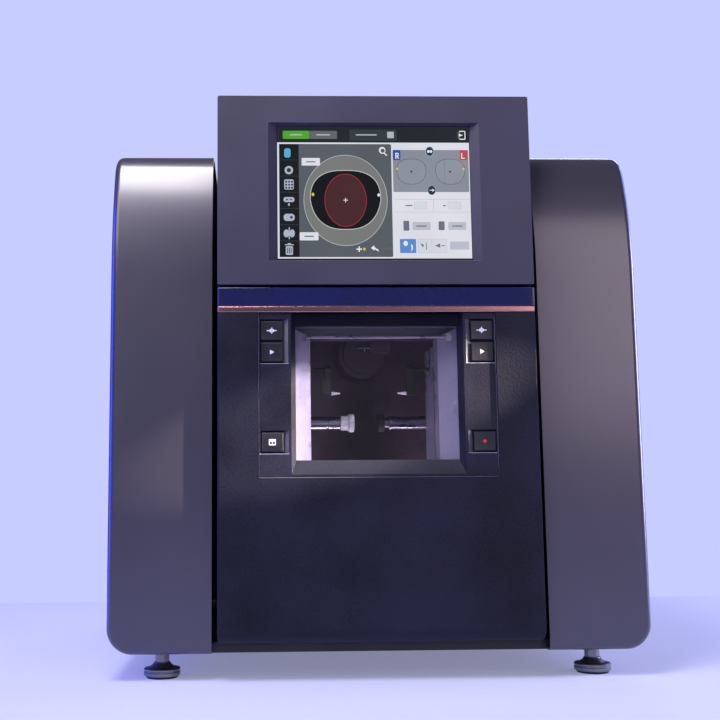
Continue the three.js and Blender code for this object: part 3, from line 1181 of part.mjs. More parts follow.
// Tool head: a stepped drum on the rear wall that carries a small spindle block
function toolHead() {
  const [stepR, stepDeep] = TOOL_STEP;
  const back = CHAMBER_REAR - SEAT * 2;
  const stepFrom = TOOL_FRONT - stepDeep;
  const shaftTo = CHAMBER_REAR + CHAMBER_WALL;
  const profile = [
    [0, stepFrom], [stepR, stepFrom], [stepR, TOOL_FRONT], [TOOL_R, TOOL_FRONT], [TOOL_R, back],
    [TOOL_SHAFT_R, back], [TOOL_SHAFT_R, shaftTo], [0, shaftTo],
  ];
  const blockY = [stepFrom - TOOL_BLOCK_DEEP, stepFrom + stepDeep * 2];
  const body = turned('y', profile, [TOOL_X, TOOL_Z]).add(block(TOOL_BLOCK_X, blockY, TOOL_BLOCK_Z));
  const bore = bar('x', TOOL_SPINDLE_R + RUN, [TOOL_BLOCK_X[0] - OVERRUN, middle(TOOL_BLOCK_X)],
    [stepFrom - TOOL_BLOCK_DEEP / 2, middle(TOOL_BLOCK_Z)], SMALL_SIDES);
  return body.subtract(bore);
}

function toolSpindle() {
  const centre = [TOOL_FRONT - TOOL_STEP[1] - TOOL_BLOCK_DEEP / 2, middle(TOOL_BLOCK_Z)];
  const [discR, discThick] = GROOVING_DISC;
  const from = TOOL_BLOCK_X[0] - TOOL_SPINDLE_LONG;
  const discFrom = TOOL_BLOCK_X[0] - TOOL_SPINDLE_LONG / 2;
  const shaft = bar('x', TOOL_SPINDLE_R, [from, middle(TOOL_BLOCK_X) - SEAT], centre, SMALL_SIDES);
  const disc = bar('x', discR - TOOL_SPINDLE_R, [discFrom, discFrom + discThick], centre);
  return shaft.add(disc);
}

// Cooling fan: square frame and seven-bladed rotor
function fanFrame() {
  const half = FAN_SIZE / 2;
  const reach = [REAR_PANEL_IN - SEAT - FAN_DEEP, REAR_PANEL_IN - SEAT];
  const outline = roundedRectangle([FAN_X - half, FAN_X + half],
    [FAN_Z - half, FAN_Z + half], PANEL_BEVEL * 2);
  const hole = bar('y', FAN_R, [reach[0] - OVERRUN, reach[1] + OVERRUN], [FAN_X, FAN_Z], ROUND_SIDES);
  const arm = block([FAN_X - FAN_R - PANEL_BEVEL, FAN_X + FAN_R + PANEL_BEVEL],
    [reach[0], reach[0] + PANEL_BEVEL], [FAN_Z - PANEL_BEVEL, FAN_Z + PANEL_BEVEL]);
  const seat = bar('y', FAN_HUB_R, [reach[0], reach[0] + PANEL_BEVEL], [FAN_X, FAN_Z], ROUND_SIDES);
  return joined(prism('y', outline, reach).subtract(hole), arm, seat);
}

function fanRotor() {
  const [bladeLong, bladeThick] = FAN_BLADE;
  const deep = FAN_DEEP - PANEL_BEVEL * 3;
  const blades = [];
  for (let blade = 0; blade < FAN_BLADES; blade += 1) {
    const geometry = new THREE.BoxGeometry(bladeLong, bladeThick, deep);
    geometry.rotateX(Math.PI / 4).translate(FAN_HUB_R + bladeLong / 2 - bladeThick / 2, 0, 0);
    geometry.rotateY((blade / FAN_BLADES) * Math.PI * 2);
    blades.push(solidOf(geometry));
  }
  const hub = bar('y', FAN_HUB_R, [-deep / 2, deep / 2], [0, 0], ROUND_SIDES);
  return joined(hub, ...blades);
}

// Mains inlet, rocker switch and hose connections
function powerInlet() {
  const [wide, high] = INLET_SIZE;
  const back = COVER_BACK + INLET_FLANGE;
  const body = block([INLET_X - wide / 2, INLET_X + wide / 2],
    [COVER_BACK - INLET_DEEP, COVER_BACK + SEAT * 2],
    [INLET_Z - high / 2, INLET_Z + high / 2]);
  const rim = INLET_FLANGE;
  const flange = block([INLET_X - wide / 2 - rim, INLET_X + wide / 2 + rim], [COVER_BACK + SEAT, back],
    [INLET_Z - high / 2 - rim, INLET_Z + high / 2 + rim]);
  const socket = block([INLET_X - wide / 2 + rim / 2, INLET_X + wide / 2 - rim / 2],
    [COVER_BACK - INLET_DEEP / 2, BACK + OVERRUN], [INLET_Z - wide / 3, INLET_Z + wide / 3]);
  const pins = [-1, 0, 1].map((step) => {
    const x = INLET_X + (step * wide) / 4;
    return block([x - SEAT * 3, x + SEAT * 3], [COVER_BACK - INLET_DEEP / 2 - SEAT, COVER_BACK],
      [INLET_Z - rim / 2, INLET_Z + rim / 2]);
  });
  return joined(body.add(flange).subtract(socket), ...pins);
}

function powerSwitch() {
  const [wide, high] = SWITCH_SIZE;
  const outer = high / 2 - SEAT;
  const inner = high / 3;
  const flat = polygon([
    [-SWITCH_DEEP, -inner], [0, -outer], [SWITCH_PROUD, -outer], [SWITCH_PROUD / 3, 0],
    [SWITCH_PROUD / 3, outer], [0, outer], [-SWITCH_DEEP, inner],
  ]);
  return prism('x', flat, [-wide / 2 + SEAT * 2, wide / 2 - SEAT * 2]);
}

// Hose barb: flange, ribbed spout and bore, made along Y from the inside to the outside
function barbProfile(from, bore) {
  const [flangeR, flangeThick] = BARB_FLANGE;
  const face = COVER_BACK + SEAT;
  const tail = BACK;
  const rib = (tail - face - flangeThick) / 2;
  return [
    [bore, from], [DRAIN_PIPE_R, from], [DRAIN_PIPE_R, face], [flangeR, face], [flangeR, face + flangeThick],
    [BARB_R - SEAT, face + flangeThick], [BARB_R, tail - rib], [BARB_R - SEAT * 3, tail - rib],
    [BARB_R - SEAT * 2, tail], [bore, tail], [bore, from],
  ];
}

function waterInlet() {
  return turned('y', barbProfile(COVER_BACK - INLET_DEEP, BARB_BORE_R), [BARB_X, BARB_WATER_Z], SMALL_SIDES);
}

function pipeRun(radius, overrun) {
  const low = CHAMBER_FLOOR - CHAMBER_FALL - CHAMBER_WALL - SEAT + overrun;
  const path = new THREE.CurvePath();
  const start = new THREE.Vector3(DRAIN_X, DRAIN_Y, low);
  const bend = new THREE.Vector3(DRAIN_X, DRAIN_Y, BARB_DRAIN_Z);
  const end = new THREE.Vector3(BARB_X, COVER_BACK - INLET_DEEP + SEAT + overrun, BARB_DRAIN_Z);
  const after = new THREE.Vector3(DRAIN_X, DRAIN_Y + PANEL_RETURN, BARB_DRAIN_Z);
  const before = new THREE.Vector3(BARB_X, REAR_PANEL_IN - PANEL_RETURN * 2, BARB_DRAIN_Z);
  path.add(new THREE.QuadraticBezierCurve3(start, bend, after));
  const halfway = middle([after.y, before.y]);
  path.add(new THREE.CubicBezierCurve3(after, new THREE.Vector3(DRAIN_X, halfway, BARB_DRAIN_Z),
    new THREE.Vector3(BARB_X, halfway, BARB_DRAIN_Z), before));
  path.add(new THREE.LineCurve3(before, end));
  const section = new THREE.Shape();
  section.absarc(0, 0, radius, 0, Math.PI * 2);
  const options = { steps: PIPE_STEPS, bevelEnabled: false, extrudePath: path, curveSegments: ARC_STEPS };
  return solidOf(new THREE.ExtrudeGeometry(section, options));
}

function drainPipe() {
  const profile = barbProfile(COVER_BACK - INLET_DEEP, BARB_BORE_R);
  const barb = turned('y', profile, [BARB_X, BARB_DRAIN_Z], SMALL_SIDES);
  return pipeRun(DRAIN_PIPE_R, 0).subtract(pipeRun(DRAIN_PIPE_BORE, SEAT)).add(barb);
}

// The machine put together from the table up
place('base_tray', baseTray(), 'zinc');
const FEET = [
  ['front_left_foot', -FOOT_X, -FOOT_Y],
  ['front_right_foot', FOOT_X, -FOOT_Y],
  ['rear_left_foot', -FOOT_X, FOOT_Y],
  ['rear_right_foot', FOOT_X, FOOT_Y],
];
for (const [name, x, y] of FEET) place(name, levellingFoot(), 'dark_steel', [x, y, 0]);
place('left_frame_plate', mirroredX(framePlate(false)), 'zinc');
place('right_frame_plate', framePlate(true), 'zinc');
place('right_side_cover', sideCover(), 'charcoal');
place('left_side_cover', mirroredX(sideCover()), 'charcoal');
place('top_cover', topCover(), 'black_texture');
place('rear_panel', rearPanel(), 'black_texture');

const frontPanels = new THREE.Group();
machine.add(frontPanels);
place('front_panel', frontPanel(), 'black_texture', [0, 0, 0], frontPanels);
place('control_bezel', controlBezel(), 'black_texture', [0, 0, 0], frontPanels);
for (const [name, x, z] of BUTTONS) place(name, buttonCap(), 'cap_black', [x, BEZEL_FRONT, z], frontPanels);
place('accent_trim', accentTrim(), 'copper', [0, 0, 0], frontPanels);
place('accent_band', accentBand(), 'gloss_navy', [0, 0, 0], frontPanels);

const display = new THREE.Group();
machine.add(display);
place('display_bezel', displayBezel(), 'matte_black', [0, 0, 0], display);
place('lcd_screen', lcdScreen(), 'screen', [0, 0, 0], display);
place('display_rear_cover', displayRearCover(), 'matte_black', [0, 0, 0], display);
place('display_bracket', displayBracket(), 'zinc');

const door = new THREE.Group();
machine.add(door);
place('door_glass', doorGlass(), 'glass', [0, 0, 0], door);
place('door_rail', doorRail(), 'white', [0, 0, 0], door);
place('door_carrier', doorCarrier(), 'zinc', [0, 0, 0], door);
place('door_guides', doorGuides(), 'zinc', [0, 0, 0], door);
place('door_screw', doorScrew(), 'steel', [0, 0, 0], door);

const chamber = new THREE.Group();
machine.add(chamber);
place('chamber_hood', chamberHood(), 'hood_grey', [0, 0, 0], chamber);
place('chamber_tub', chamberTub(), 'tub_dark', [0, 0, 0], chamber);
place('inspection_plate', inspectionPlate(), 'tub_dark', [0, 0, 0], chamber);
place('right_feeler', feeler(), 'rubber', [0, 0, 0], chamber);
place('left_feeler', mirroredX(feeler()), 'rubber', [0, 0, 0], chamber);
place('tool_head', toolHead(), 'tub_dark', [0, 0, 0], chamber);
place('tool_spindle', toolSpindle(), 'steel', [0, 0, 0], chamber);

const head = new THREE.Group();
machine.add(head);
place('lower_guide_rod', guideRod(GUIDE_ROD_Z[0]), 'chrome', [0, 0, 0], head);
place('upper_guide_rod', guideRod(GUIDE_ROD_Z[1]), 'chrome', [0, 0, 0], head);
place('carriage', carriage(), 'zinc', [0, 0, 0], head);
place('lift_screw', liftScrew(), 'steel', [0, 0, 0], head);
place('lens_head', lensHead(), 'zinc', [0, 0, 0], head);
place('left_lens_shaft', leftShaft(), 'steel', [0, 0, 0], head);
place('lens_adapter_cup', adapterCup(), 'white', [0, 0, 0], head);
place('clamp_quill', clampQuill(), 'steel', [0, 0, 0], head);
place('right_lens_shaft', rightShaft(), 'chrome', [0, 0, 0], head);
place('clamp_pad', clampPad(), 'rubber', [0, 0, 0], head);

const wheels = new THREE.Group();
machine.add(wheels);
place('wheel_spindle', wheelSpindle(), 'steel', [0, 0, 0], wheels);
place('roughing_wheel', grindingWheel(ROUGH_WHEEL_X, []), 'abrasive', [0, 0, 0], wheels);
const GROOVE_SHARES = [0.3, 0.75];
place('finishing_wheel', grindingWheel(FINE_WHEEL_X, GROOVE_SHARES), 'abrasive_fine', [0, 0, 0], wheels);
place('spindle_bearing', spindleBearing(), 'zinc', [0, 0, 0], wheels);
place('spindle_motor', spindleMotor(), 'dark_steel', [0, 0, 0], wheels);
place('motor_pulley', motorPulley(), 'steel', [0, 0, 0], wheels);
place('drive_belt', driveBelt(), 'rubber', [0, 0, 0], wheels);

const rear = new THREE.Group();
machine.add(rear);
place('fan_frame', fanFrame(), 'matte_black', [0, 0, 0], rear);
const rotorY = REAR_PANEL_IN - SEAT - FAN_DEEP / 2 + PANEL_BEVEL / 2;
place('fan_rotor', fanRotor(), 'matte_black', [FAN_X, rotorY, FAN_Z], rear);
place('power_inlet', powerInlet(), 'matte_black', [0, 0, 0], rear);
place('power_switch', powerSwitch(), 'cap_black', [SWITCH_X, COVER_BACK, INLET_Z], rear);
place('water_inlet', waterInlet(), 'brass', [0, 0, 0], rear);
place('drain_pipe', drainPipe(), 'matte_black', [0, 0, 0], rear);

export default machine;
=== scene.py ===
# Automatic lens edger: a bench machine that grinds spectacle lenses behind a small sliding window.
# Lengths are in millimetres until made() turns a finished shape to metres.
import json
import math

import bmesh
import bpy
from mathutils import Matrix, Vector

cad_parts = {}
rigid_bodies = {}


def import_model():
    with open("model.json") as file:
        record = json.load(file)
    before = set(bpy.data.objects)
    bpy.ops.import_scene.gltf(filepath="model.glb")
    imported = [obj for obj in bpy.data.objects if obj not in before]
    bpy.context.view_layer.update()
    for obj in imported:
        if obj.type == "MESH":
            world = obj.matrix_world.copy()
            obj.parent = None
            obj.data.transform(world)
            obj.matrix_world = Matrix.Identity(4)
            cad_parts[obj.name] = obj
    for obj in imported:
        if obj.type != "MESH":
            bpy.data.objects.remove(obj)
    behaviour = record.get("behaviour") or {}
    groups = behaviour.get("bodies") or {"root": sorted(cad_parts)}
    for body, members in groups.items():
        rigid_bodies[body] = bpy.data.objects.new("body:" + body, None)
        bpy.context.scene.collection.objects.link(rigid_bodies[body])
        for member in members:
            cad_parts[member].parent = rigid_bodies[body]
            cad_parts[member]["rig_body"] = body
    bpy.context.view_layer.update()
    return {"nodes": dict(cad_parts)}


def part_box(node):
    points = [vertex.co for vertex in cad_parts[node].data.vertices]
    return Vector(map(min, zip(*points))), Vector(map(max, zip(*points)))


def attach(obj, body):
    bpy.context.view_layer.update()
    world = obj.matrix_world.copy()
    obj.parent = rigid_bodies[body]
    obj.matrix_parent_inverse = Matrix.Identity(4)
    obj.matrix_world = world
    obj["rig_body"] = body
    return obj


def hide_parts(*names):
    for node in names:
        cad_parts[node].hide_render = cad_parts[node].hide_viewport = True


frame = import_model()
nodes = frame["nodes"]
scene = bpy.context.scene

# Camera: standing in front and a little to the left, low above the table and looking up by seven degrees.
# The frame was cropped from a wider picture, so the lens axis lies left of its middle.
EYE = (-0.1281, -1.3738, 0.1926)
YAW, PITCH, ROLL = 1.69, 7.21, -0.42
yaw, pitch, roll = (math.radians(angle) for angle in (YAW, PITCH, ROLL))
ahead = Vector((math.sin(yaw) * math.cos(pitch), math.cos(yaw) * math.cos(pitch), math.sin(pitch)))
level = Vector((math.cos(yaw), -math.sin(yaw), 0))
across = level * math.cos(roll) + level.cross(ahead) * math.sin(roll)
upward = across.cross(ahead)
camera = bpy.data.objects.new("camera", bpy.data.cameras.new("camera"))
camera.data.lens = 52.5
camera.data.sensor_width = 36
camera.data.shift_x = 0.1
camera.data.clip_start, camera.data.clip_end = 0.01, 50
turn = Matrix((across, upward, -ahead)).transposed().to_4x4()
camera.matrix_world = Matrix.Translation(EYE) @ turn
scene.collection.objects.link(camera)
scene.camera = camera


# Base tray: pressed sheet steel, powder coated near black, with a low rim that the covers hook over.
# It carries both upright plates and the four feet, and only its edges are seen.
def colour(text):
    """The linear colour of an sRGB hex value."""
    parts = [int(text[place:place + 2], 16) / 255 for place in (0, 2, 4)]
    return [part / 12.92 if part <= 0.04045 else ((part + 0.055) / 1.055) ** 2.4 for part in parts] + [1]


def add(tree, kind, settings=None, links=None):
    """Adds a node, fills in its settings by socket or property name, and links its inputs."""
    node = tree.nodes.new(kind)
    for key, value in (settings or {}).items():
        if isinstance(key, int) or key in node.inputs:
            node.inputs[key].default_value = value
        else:
            setattr(node, key, value)
    for key, source in (links or {}).items():
        tree.links.new(source, node.inputs[key])
    return node


def finished(name, light, dark, rough, grain, relief, patch=60, metallic=0, stretch=(1, 1, 1), **sockets):
    """A surface whose colour drifts between two tones and whose grain, in millimetres, dents it by relief."""
    material = bpy.data.materials.new(name)
    material.use_nodes = True
    tree = material.node_tree
    shader = tree.nodes["Principled BSDF"]
    place = add(tree, "ShaderNodeTexCoord")
    laid = add(tree, "ShaderNodeMapping", {"Scale": stretch}, {"Vector": place.outputs["Object"]})
    along = {"Vector": laid.outputs["Vector"]}
    drift = add(tree, "ShaderNodeTexNoise", {"Scale": 1000 / patch, "Detail": 3}, along)
    fine = add(tree, "ShaderNodeTexNoise", {"Scale": 1000 / grain, "Detail": 2, "Roughness": 0.6}, along)
    both = add(tree, "ShaderNodeMath", {"operation": "MULTIPLY_ADD", 1: 0.5},
               {0: fine.outputs["Fac"], 2: drift.outputs["Fac"]})
    tone = add(tree, "ShaderNodeMapRange", {"From Min": 0.5, "From Max": 1.0}, {"Value": both.outputs[0]})
    paint = add(tree, "ShaderNodeMix", {"data_type": "RGBA", 6: colour(dark), 7: colour(light)},
                {0: tone.outputs[0]})
    sheen = add(tree, "ShaderNodeMapRange",
                {"From Min": 0.35, "From Max": 0.65, "To Min": rough[0], "To Max": rough[1]},
                {"Value": drift.outputs["Fac"]})
    dents = add(tree, "ShaderNodeBump", {"Strength": 0.5, "Distance": relief / 1000},
                {"Height": fine.outputs["Fac"]})
    tree.links.new(paint.outputs[2], shader.inputs["Base Color"])
    tree.links.new(sheen.outputs[0], shader.inputs["Roughness"])
    tree.links.new(dents.outputs[0], shader.inputs["Normal"])
    shader.inputs["Metallic"].default_value = metallic
    for key, value in sockets.items():
        shader.inputs[key.replace("_", " ")].default_value = value
    return material


CREASE, CAD_EDGE = math.radians(35), math.radians(30)


def made(name, shape, material, body, *stands_for):
    """Turns a shape in millimetres into a piece in metres that rides on a body and stands for CAD nodes."""
    bmesh.ops.scale(shape, vec=(0.001, 0.001, 0.001), verts=shape.verts)
    for face in shape.faces:
        face.smooth = True
    mesh = bpy.data.meshes.new(name)
    shape.to_mesh(mesh)
    shape.free()
    mesh.set_sharp_from_angle(angle=CREASE)
    mesh.materials.append(material)
    piece = bpy.data.objects.new(name, mesh)
    scene.collection.objects.link(piece)
    evened = piece.modifiers.new("flat_faces_stay_flat", "WEIGHTED_NORMAL")
    evened.keep_sharp = True
    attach(piece, body)
    if stands_for:
        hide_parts(*stands_for)
    return piece


def ease(shape, edges, width, segments=2):
    """Rounds the edges given."""
    bmesh.ops.bevel(shape, geom=list(edges), offset=width, offset_type="OFFSET", segments=segments,
                    profile=0.5, affect="EDGES", material=-1, clamp_overlap=True)


def eased(node, material, width=0.5, segments=2):
    """A copy of a CAD node with its sharp edges rounded off, which stands for the node."""
    shape = bmesh.new()
    shape.from_mesh(nodes[node].data)
    bmesh.ops.scale(shape, vec=(1000, 1000, 1000), verts=shape.verts)
    bmesh.ops.remove_doubles(shape, verts=shape.verts, dist=0.002)
    bmesh.ops.dissolve_limit(shape, angle_limit=math.radians(1), verts=shape.verts, edges=shape.edges)
    sharp = [edge for edge in shape.edges if len(edge.link_faces) == 2 and edge.calc_face_angle(0) > CAD_EDGE]
    ease(shape, sharp, width, segments)
    bmesh.ops.dissolve_degenerate(shape, dist=0.01, edges=shape.edges)
    return made(node + "_piece", shape, material, nodes[node]["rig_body"], node)


def reach_of(node):
    """Lowest and highest corner of a CAD node in millimetres."""
    low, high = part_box(node)
    return low * 1000, high * 1000


# Powder coat on steel: near black, with an orange peel a millimetre or two across that breaks up its shine.
tray_coat = finished("powder_coated_steel", "202024", "17171b", (0.5, 0.65), 1.6, 0.06)
eased("base_tray", tray_coat, 0.8)


# Levelling feet: zinc-plated steel discs on a rubber sole, each with a cone, a hexagon and a threaded stud.
# The stud screws up through the tray, and a foot turns about it.
def lathe(shape, profile, axis, centre, sides=48):
    """Spins a closed profile of (radius, distance along the axis) a full turn about the axis x, y or z."""
    u, v = centre
    turned = {"x": lambda r, a: (a, u + r, v), "y": lambda r, a: (u + r, a, v),
              "z": lambda r, a: (u + r, v, a)}[axis]
    point = {"x": (0, u, v), "y": (u, 0, v), "z": (u, v, 0)}[axis]
    ring = [shape.verts.new(turned(r, a)) for r, a in profile]
    rims = [shape.edges.new((ring[place], ring[place - 1])) for place in range(len(ring))
            if profile[place][0] or profile[place - 1][0]]
    before = set(shape.faces)
    bmesh.ops.spin(shape, geom=ring + rims, cent=point, axis=Vector([axis == name for name in "xyz"]),
                   angle=math.tau, steps=sides, use_merge=True, use_duplicate=False)
    fresh = [face for face in shape.faces if face not in before]
    corners = {corner for face in fresh for corner in face.verts}
    bmesh.ops.remove_doubles(shape, verts=list(corners), dist=0.001)
    bmesh.ops.recalc_face_normals(shape, faces=[face for face in shape.faces if face not in before])


SOLE_HIGH, DISC_GAP, NUT_RADIUS, NUT_HIGH, NUT_MIDDLE = 2.2, 0.1, 8, 9.6, 21.4
THREAD_FOOT, THREAD_PITCH, THREAD_FLANK, THREAD_CORE, THREAD_CREST = 26.7, 1.5, 0.2, 4.4, 4.95
# Zinc plate is a soft grey metal with a faint bloom, and the sole's rubber stays dull beside it.
zinc_plate = finished("zinc_plated_steel", "8f9096", "74757b", (0.28, 0.42), 2.5, 0.02, patch=25, metallic=1)
sole_rubber = finished("foot_rubber", "1a1a1c", "121214", (0.75, 0.9), 1.4, 0.05)
for foot in ["front_left_foot", "front_right_foot", "rear_left_foot", "rear_right_foot"]:
    low, high = reach_of(foot)
    middle = ((low.x + high.x) / 2, (low.y + high.y) / 2)
    rim = (high.x - low.x) / 2
    sole = bmesh.new()
    lathe(sole, [(0, 0), (rim - 3, 0), (rim - 2.4, 0.6), (rim - 2.4, SOLE_HIGH), (0, SOLE_HIGH)], "z", middle)
    made(foot + "_sole", sole, sole_rubber, nodes[foot]["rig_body"])
    disc = bmesh.new()
    thread = []
    for turns in range(int((high.z - THREAD_FOOT) / THREAD_PITCH)):
        base = THREAD_FOOT + turns * THREAD_PITCH
        thread += [(THREAD_CORE, base + THREAD_FLANK), (THREAD_CREST, base + THREAD_PITCH / 2),
                   (THREAD_CORE, base + THREAD_PITCH - THREAD_FLANK)]
    disc_foot = SOLE_HIGH + DISC_GAP
    underside = [(0, disc_foot), (rim - 0.8, disc_foot), (rim, disc_foot + 0.8)]
    grooved_rim = [(rim, 6.0), (rim - 0.7, 6.6), (rim - 0.7, 7.4), (rim, 8.0), (rim, 9.4), (rim - 0.8, 10.2)]
    cone = [(13, 11), (9.2, 14.6), (8.6, 16), (6.9, 16), (6.9, 26.6), (5, 26.65)]
    lathe(disc, underside + grooved_rim + cone + thread + [(4.2, high.z), (0, high.z)], "z", middle)
    made(foot + "_disc", disc, zinc_plate, nodes[foot]["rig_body"], foot)
    hexagon = bmesh.new()
    set_down = Matrix.Translation((*middle, NUT_MIDDLE)) @ Matrix.Rotation(math.radians(15), 4, "Z")
    bmesh.ops.create_cone(hexagon, cap_ends=True, segments=6, radius1=NUT_RADIUS, radius2=NUT_RADIUS,
                          depth=NUT_HIGH, matrix=set_down)
    ease(hexagon, hexagon.edges, 0.5)
    made(foot + "_nut", hexagon, zinc_plate, nodes[foot]["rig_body"])


# Upright frame plates and the display's bracket: bent zinc-plated sheet, screwed to the tray.
# They carry everything inside, and are seen only through the slots and from below.
# Galvanised sheet is a flat mid grey metal whose zinc clouds are some centimetres across.
sheet_zinc = finished("galvanised_sheet", "83868d", "6c6f76", (0.35, 0.55), 6, 0.02, patch=40, metallic=0.9)
for sheet_part in ["left_frame_plate", "right_frame_plate", "display_bracket", "door_carrier", "door_guides"]:
    eased(sheet_part, sheet_zinc, 0.4)


# Side covers: tall shells of painted sheet, one each side, whose front leans back in a long curve to the top.
# The satin charcoal has fine metal flakes, so it lightens softly where it turns towards a lamp.
def arc(centre, radius, start, end, steps):
    """Points on an arc, with its angles in degrees."""
    turns = [math.radians(start + (end - start) * step / steps) for step in range(steps + 1)]
    return [(centre[0] + radius * math.cos(angle), centre[1] + radius * math.sin(angle)) for angle in turns]


def plate(shape, outline, axis, reach):
    """Extrudes an outline along an axis, whose other two axes in order x, y, z the outline's points give."""
    lay = {"x": lambda u, v: (reach[0], u, v), "y": lambda u, v: (u, reach[0], v),
           "z": lambda u, v: (u, v, reach[0])}[axis]
    face = shape.faces.new([shape.verts.new(lay(u, v)) for u, v in outline])
    grown = bmesh.ops.extrude_face_region(shape, geom=[face])
    shift = Vector([axis == name for name in "xyz"]) * (reach[1] - reach[0])
    moved = [part for part in grown["geom"] if isinstance(part, bmesh.types.BMVert)]
    bmesh.ops.translate(shape, vec=shift, verts=moved)
    bmesh.ops.recalc_face_normals(shape, faces=shape.faces)


CURVE_R, CURVE_DROP, SHOULDER_R, CORNER_R, EDGE_R = 350, 144, 40, 27, 8
COVER_WALL, COVER_RIM, UNDERSIDE_AREA = 3, 14, 5000
SHARP_TURN = 0.6  # radians
# Charcoal car paint under a satin clear coat: a grey metal sheen inside and a soft highlight on top.
charcoal_paint = finished("satin_charcoal_paint", "484555", "424050", (0.36, 0.4), 1.5, 0.035, patch=140,
                          metallic=0.6, Coat_Weight=0.9, Coat_Roughness=0.2)
for side, cover in [(-1, "left_side_cover"), (1, "right_side_cover")]:
    low, high = reach_of(cover)
    front, back, bottom, top = low.y, high.y, low.z, high.z
    inside, outside = (low.x, high.x) if side > 0 else (-high.x, -low.x)
    rise = CURVE_DROP - SHOULDER_R
    lean = math.degrees(math.asin(rise / (CURVE_R - SHOULDER_R)))
    brow = (front + CURVE_R - (CURVE_R - SHOULDER_R) * math.cos(math.radians(lean)), top - SHOULDER_R)
    outline = [(front, bottom)] + arc((front + CURVE_R, top - CURVE_DROP), CURVE_R, 180, 180 - lean, 14)
    outline += arc(brow, SHOULDER_R, 180 - lean, 90, 12)[1:]
    outline += arc((back - SHOULDER_R, top - SHOULDER_R), SHOULDER_R, 90, 0, 14) + [(back, bottom)]
    shell = bmesh.new()
    plate(shell, outline, "x", (inside, outside))
    keel = [edge for edge in shell.edges
            if all(corner.co.x > inside + 1 and corner.co.z < bottom + 1 for corner in edge.verts)]
    ease(shell, keel, CORNER_R, 12)
    contour = [edge for edge in shell.edges if edge.calc_face_angle(0) > SHARP_TURN
               and max(corner.co.x for corner in edge.verts) > inside + 1]
    ease(shell, contour, EDGE_R, 6)
    open_side = [face for face in shell.faces if face.calc_center_median().x < inside + 0.5]
    bmesh.ops.delete(shell, geom=open_side, context="FACES")
    under = [face for face in shell.faces if face.normal.z < -0.99 and face.calc_area() > UNDERSIDE_AREA]
    bmesh.ops.inset_region(shell, faces=under, thickness=COVER_RIM, use_boundary=False)
    bmesh.ops.delete(shell, geom=under, context="FACES")
    bmesh.ops.recalc_face_normals(shell, faces=shell.faces)
    bmesh.ops.solidify(shell, geom=shell.faces, thickness=COVER_WALL)
    if side < 0:
        bmesh.ops.scale(shell, vec=(-1, 1, 1), verts=shell.verts)
    bmesh.ops.recalc_face_normals(shell, faces=shell.faces)
    made(cover + "_shell", shell, charcoal_paint, "chassis", cover)


# Lower front panel: an injection-moulded ABS shell with a fine spark-eroded grain and a rolled bottom edge.
# The bay at its top takes the control bezel, and clips behind hold it to the upright frame plates.
def cut_at(shape, place, facing):
    """Cuts every face along a plane, and keeps both sides."""
    bmesh.ops.bisect_plane(shape, geom=list(shape.verts) + list(shape.edges) + list(shape.faces),
                           plane_co=place, plane_no=facing)


PANEL_WALL, PANEL_CURL, PANEL_EDGE, BAY_GAP = 3.5, 16, 2, 0.3
# Grained ABS is a blue-black plastic whose fine pebbles scatter a lamp into a wide dull patch.
black_abs = finished("grained_black_abs", "1c1d34", "080918", (0.46, 0.58), 2.6, 0.7, patch=90,
                     Specular_IOR_Level=0.22)
low, high = reach_of("front_panel")
bay_low, bay_high = reach_of("control_bezel")
outline = [(high.y, low.z), (high.y, high.z), (low.y, high.z)]
outline += arc((low.y + PANEL_CURL, low.z + PANEL_CURL), PANEL_CURL, 180, 270, 10)
panel = bmesh.new()
plate(panel, outline, "x", (low.x, high.x))
ends = [edge for edge in panel.edges if abs(edge.verts[0].co.x - edge.verts[1].co.x) < 0.01
        and min(corner.co.y for corner in edge.verts) < high.y - 1 and edge.calc_face_angle(0) > SHARP_TURN]
ease(panel, ends, PANEL_EDGE, 4)
hidden = [face for face in panel.faces if face.normal.y > 0.99 or face.normal.z > 0.99]
bmesh.ops.delete(panel, geom=hidden, context="FACES")
for at, facing in [((bay_low.x - BAY_GAP, 0, 0), (1, 0, 0)), ((bay_high.x + BAY_GAP, 0, 0), (1, 0, 0)),
                   ((0, 0, bay_low.z - BAY_GAP), (0, 0, 1))]:
    cut_at(panel, at, facing)
bay = [face for face in panel.faces if abs(face.calc_center_median().x) < bay_high.x + BAY_GAP
       and face.calc_center_median().z > bay_low.z - BAY_GAP and face.normal.y < -0.9]
bmesh.ops.delete(panel, geom=bay, context="FACES")
bmesh.ops.recalc_face_normals(panel, faces=panel.faces)
bmesh.ops.solidify(panel, geom=panel.faces, thickness=PANEL_WALL)
bmesh.ops.recalc_face_normals(panel, faces=panel.faces)
made("front_panel_shell", panel, black_abs, "chassis", "front_panel")


# Control bezel: one moulding of the same black ABS, with a splayed window frame and four button pockets.
# It is let into the panel flush. Its outer, bottom and pocket-foot edges get a pale bevel, a painted
# highlight that reads as thin light lines. A strip above the window closes the gap there, and its near-black
# is painted shade.
def strip(x0, x1, z0, z1):
    """A rectangle's outline."""
    return [(x0, z0), (x1, z0), (x1, z1), (x0, z1)]


def front_face_in(face, x_reach, z_reach):
    """Whether a face looks forward and lies between these limits, on either side of the middle."""
    middle = face.calc_center_median()
    return (face.normal.y < -0.9 and x_reach[0] < abs(middle.x) < x_reach[1]
            and z_reach[0] < middle.z < z_reach[1])


BEZEL_WALL, WINDOW_HALF, WINDOW_DEEP_HALF, SILL, SILL_DEEP = 1.8, 92.2, 87.1, 211.7, 226.6
HEADER_FOOT, HEADER_LAP, HEADER_THICK, HIGHLIGHT_WIDE, NEAR = 370, 2.5, 5, 0.6, 0.01
POCKET_IN, POCKET_FLOOR, POCKET_OUT, POCKET_DEEP, POCKET_GAP = 95.2, 100.6, 125, 5, 2
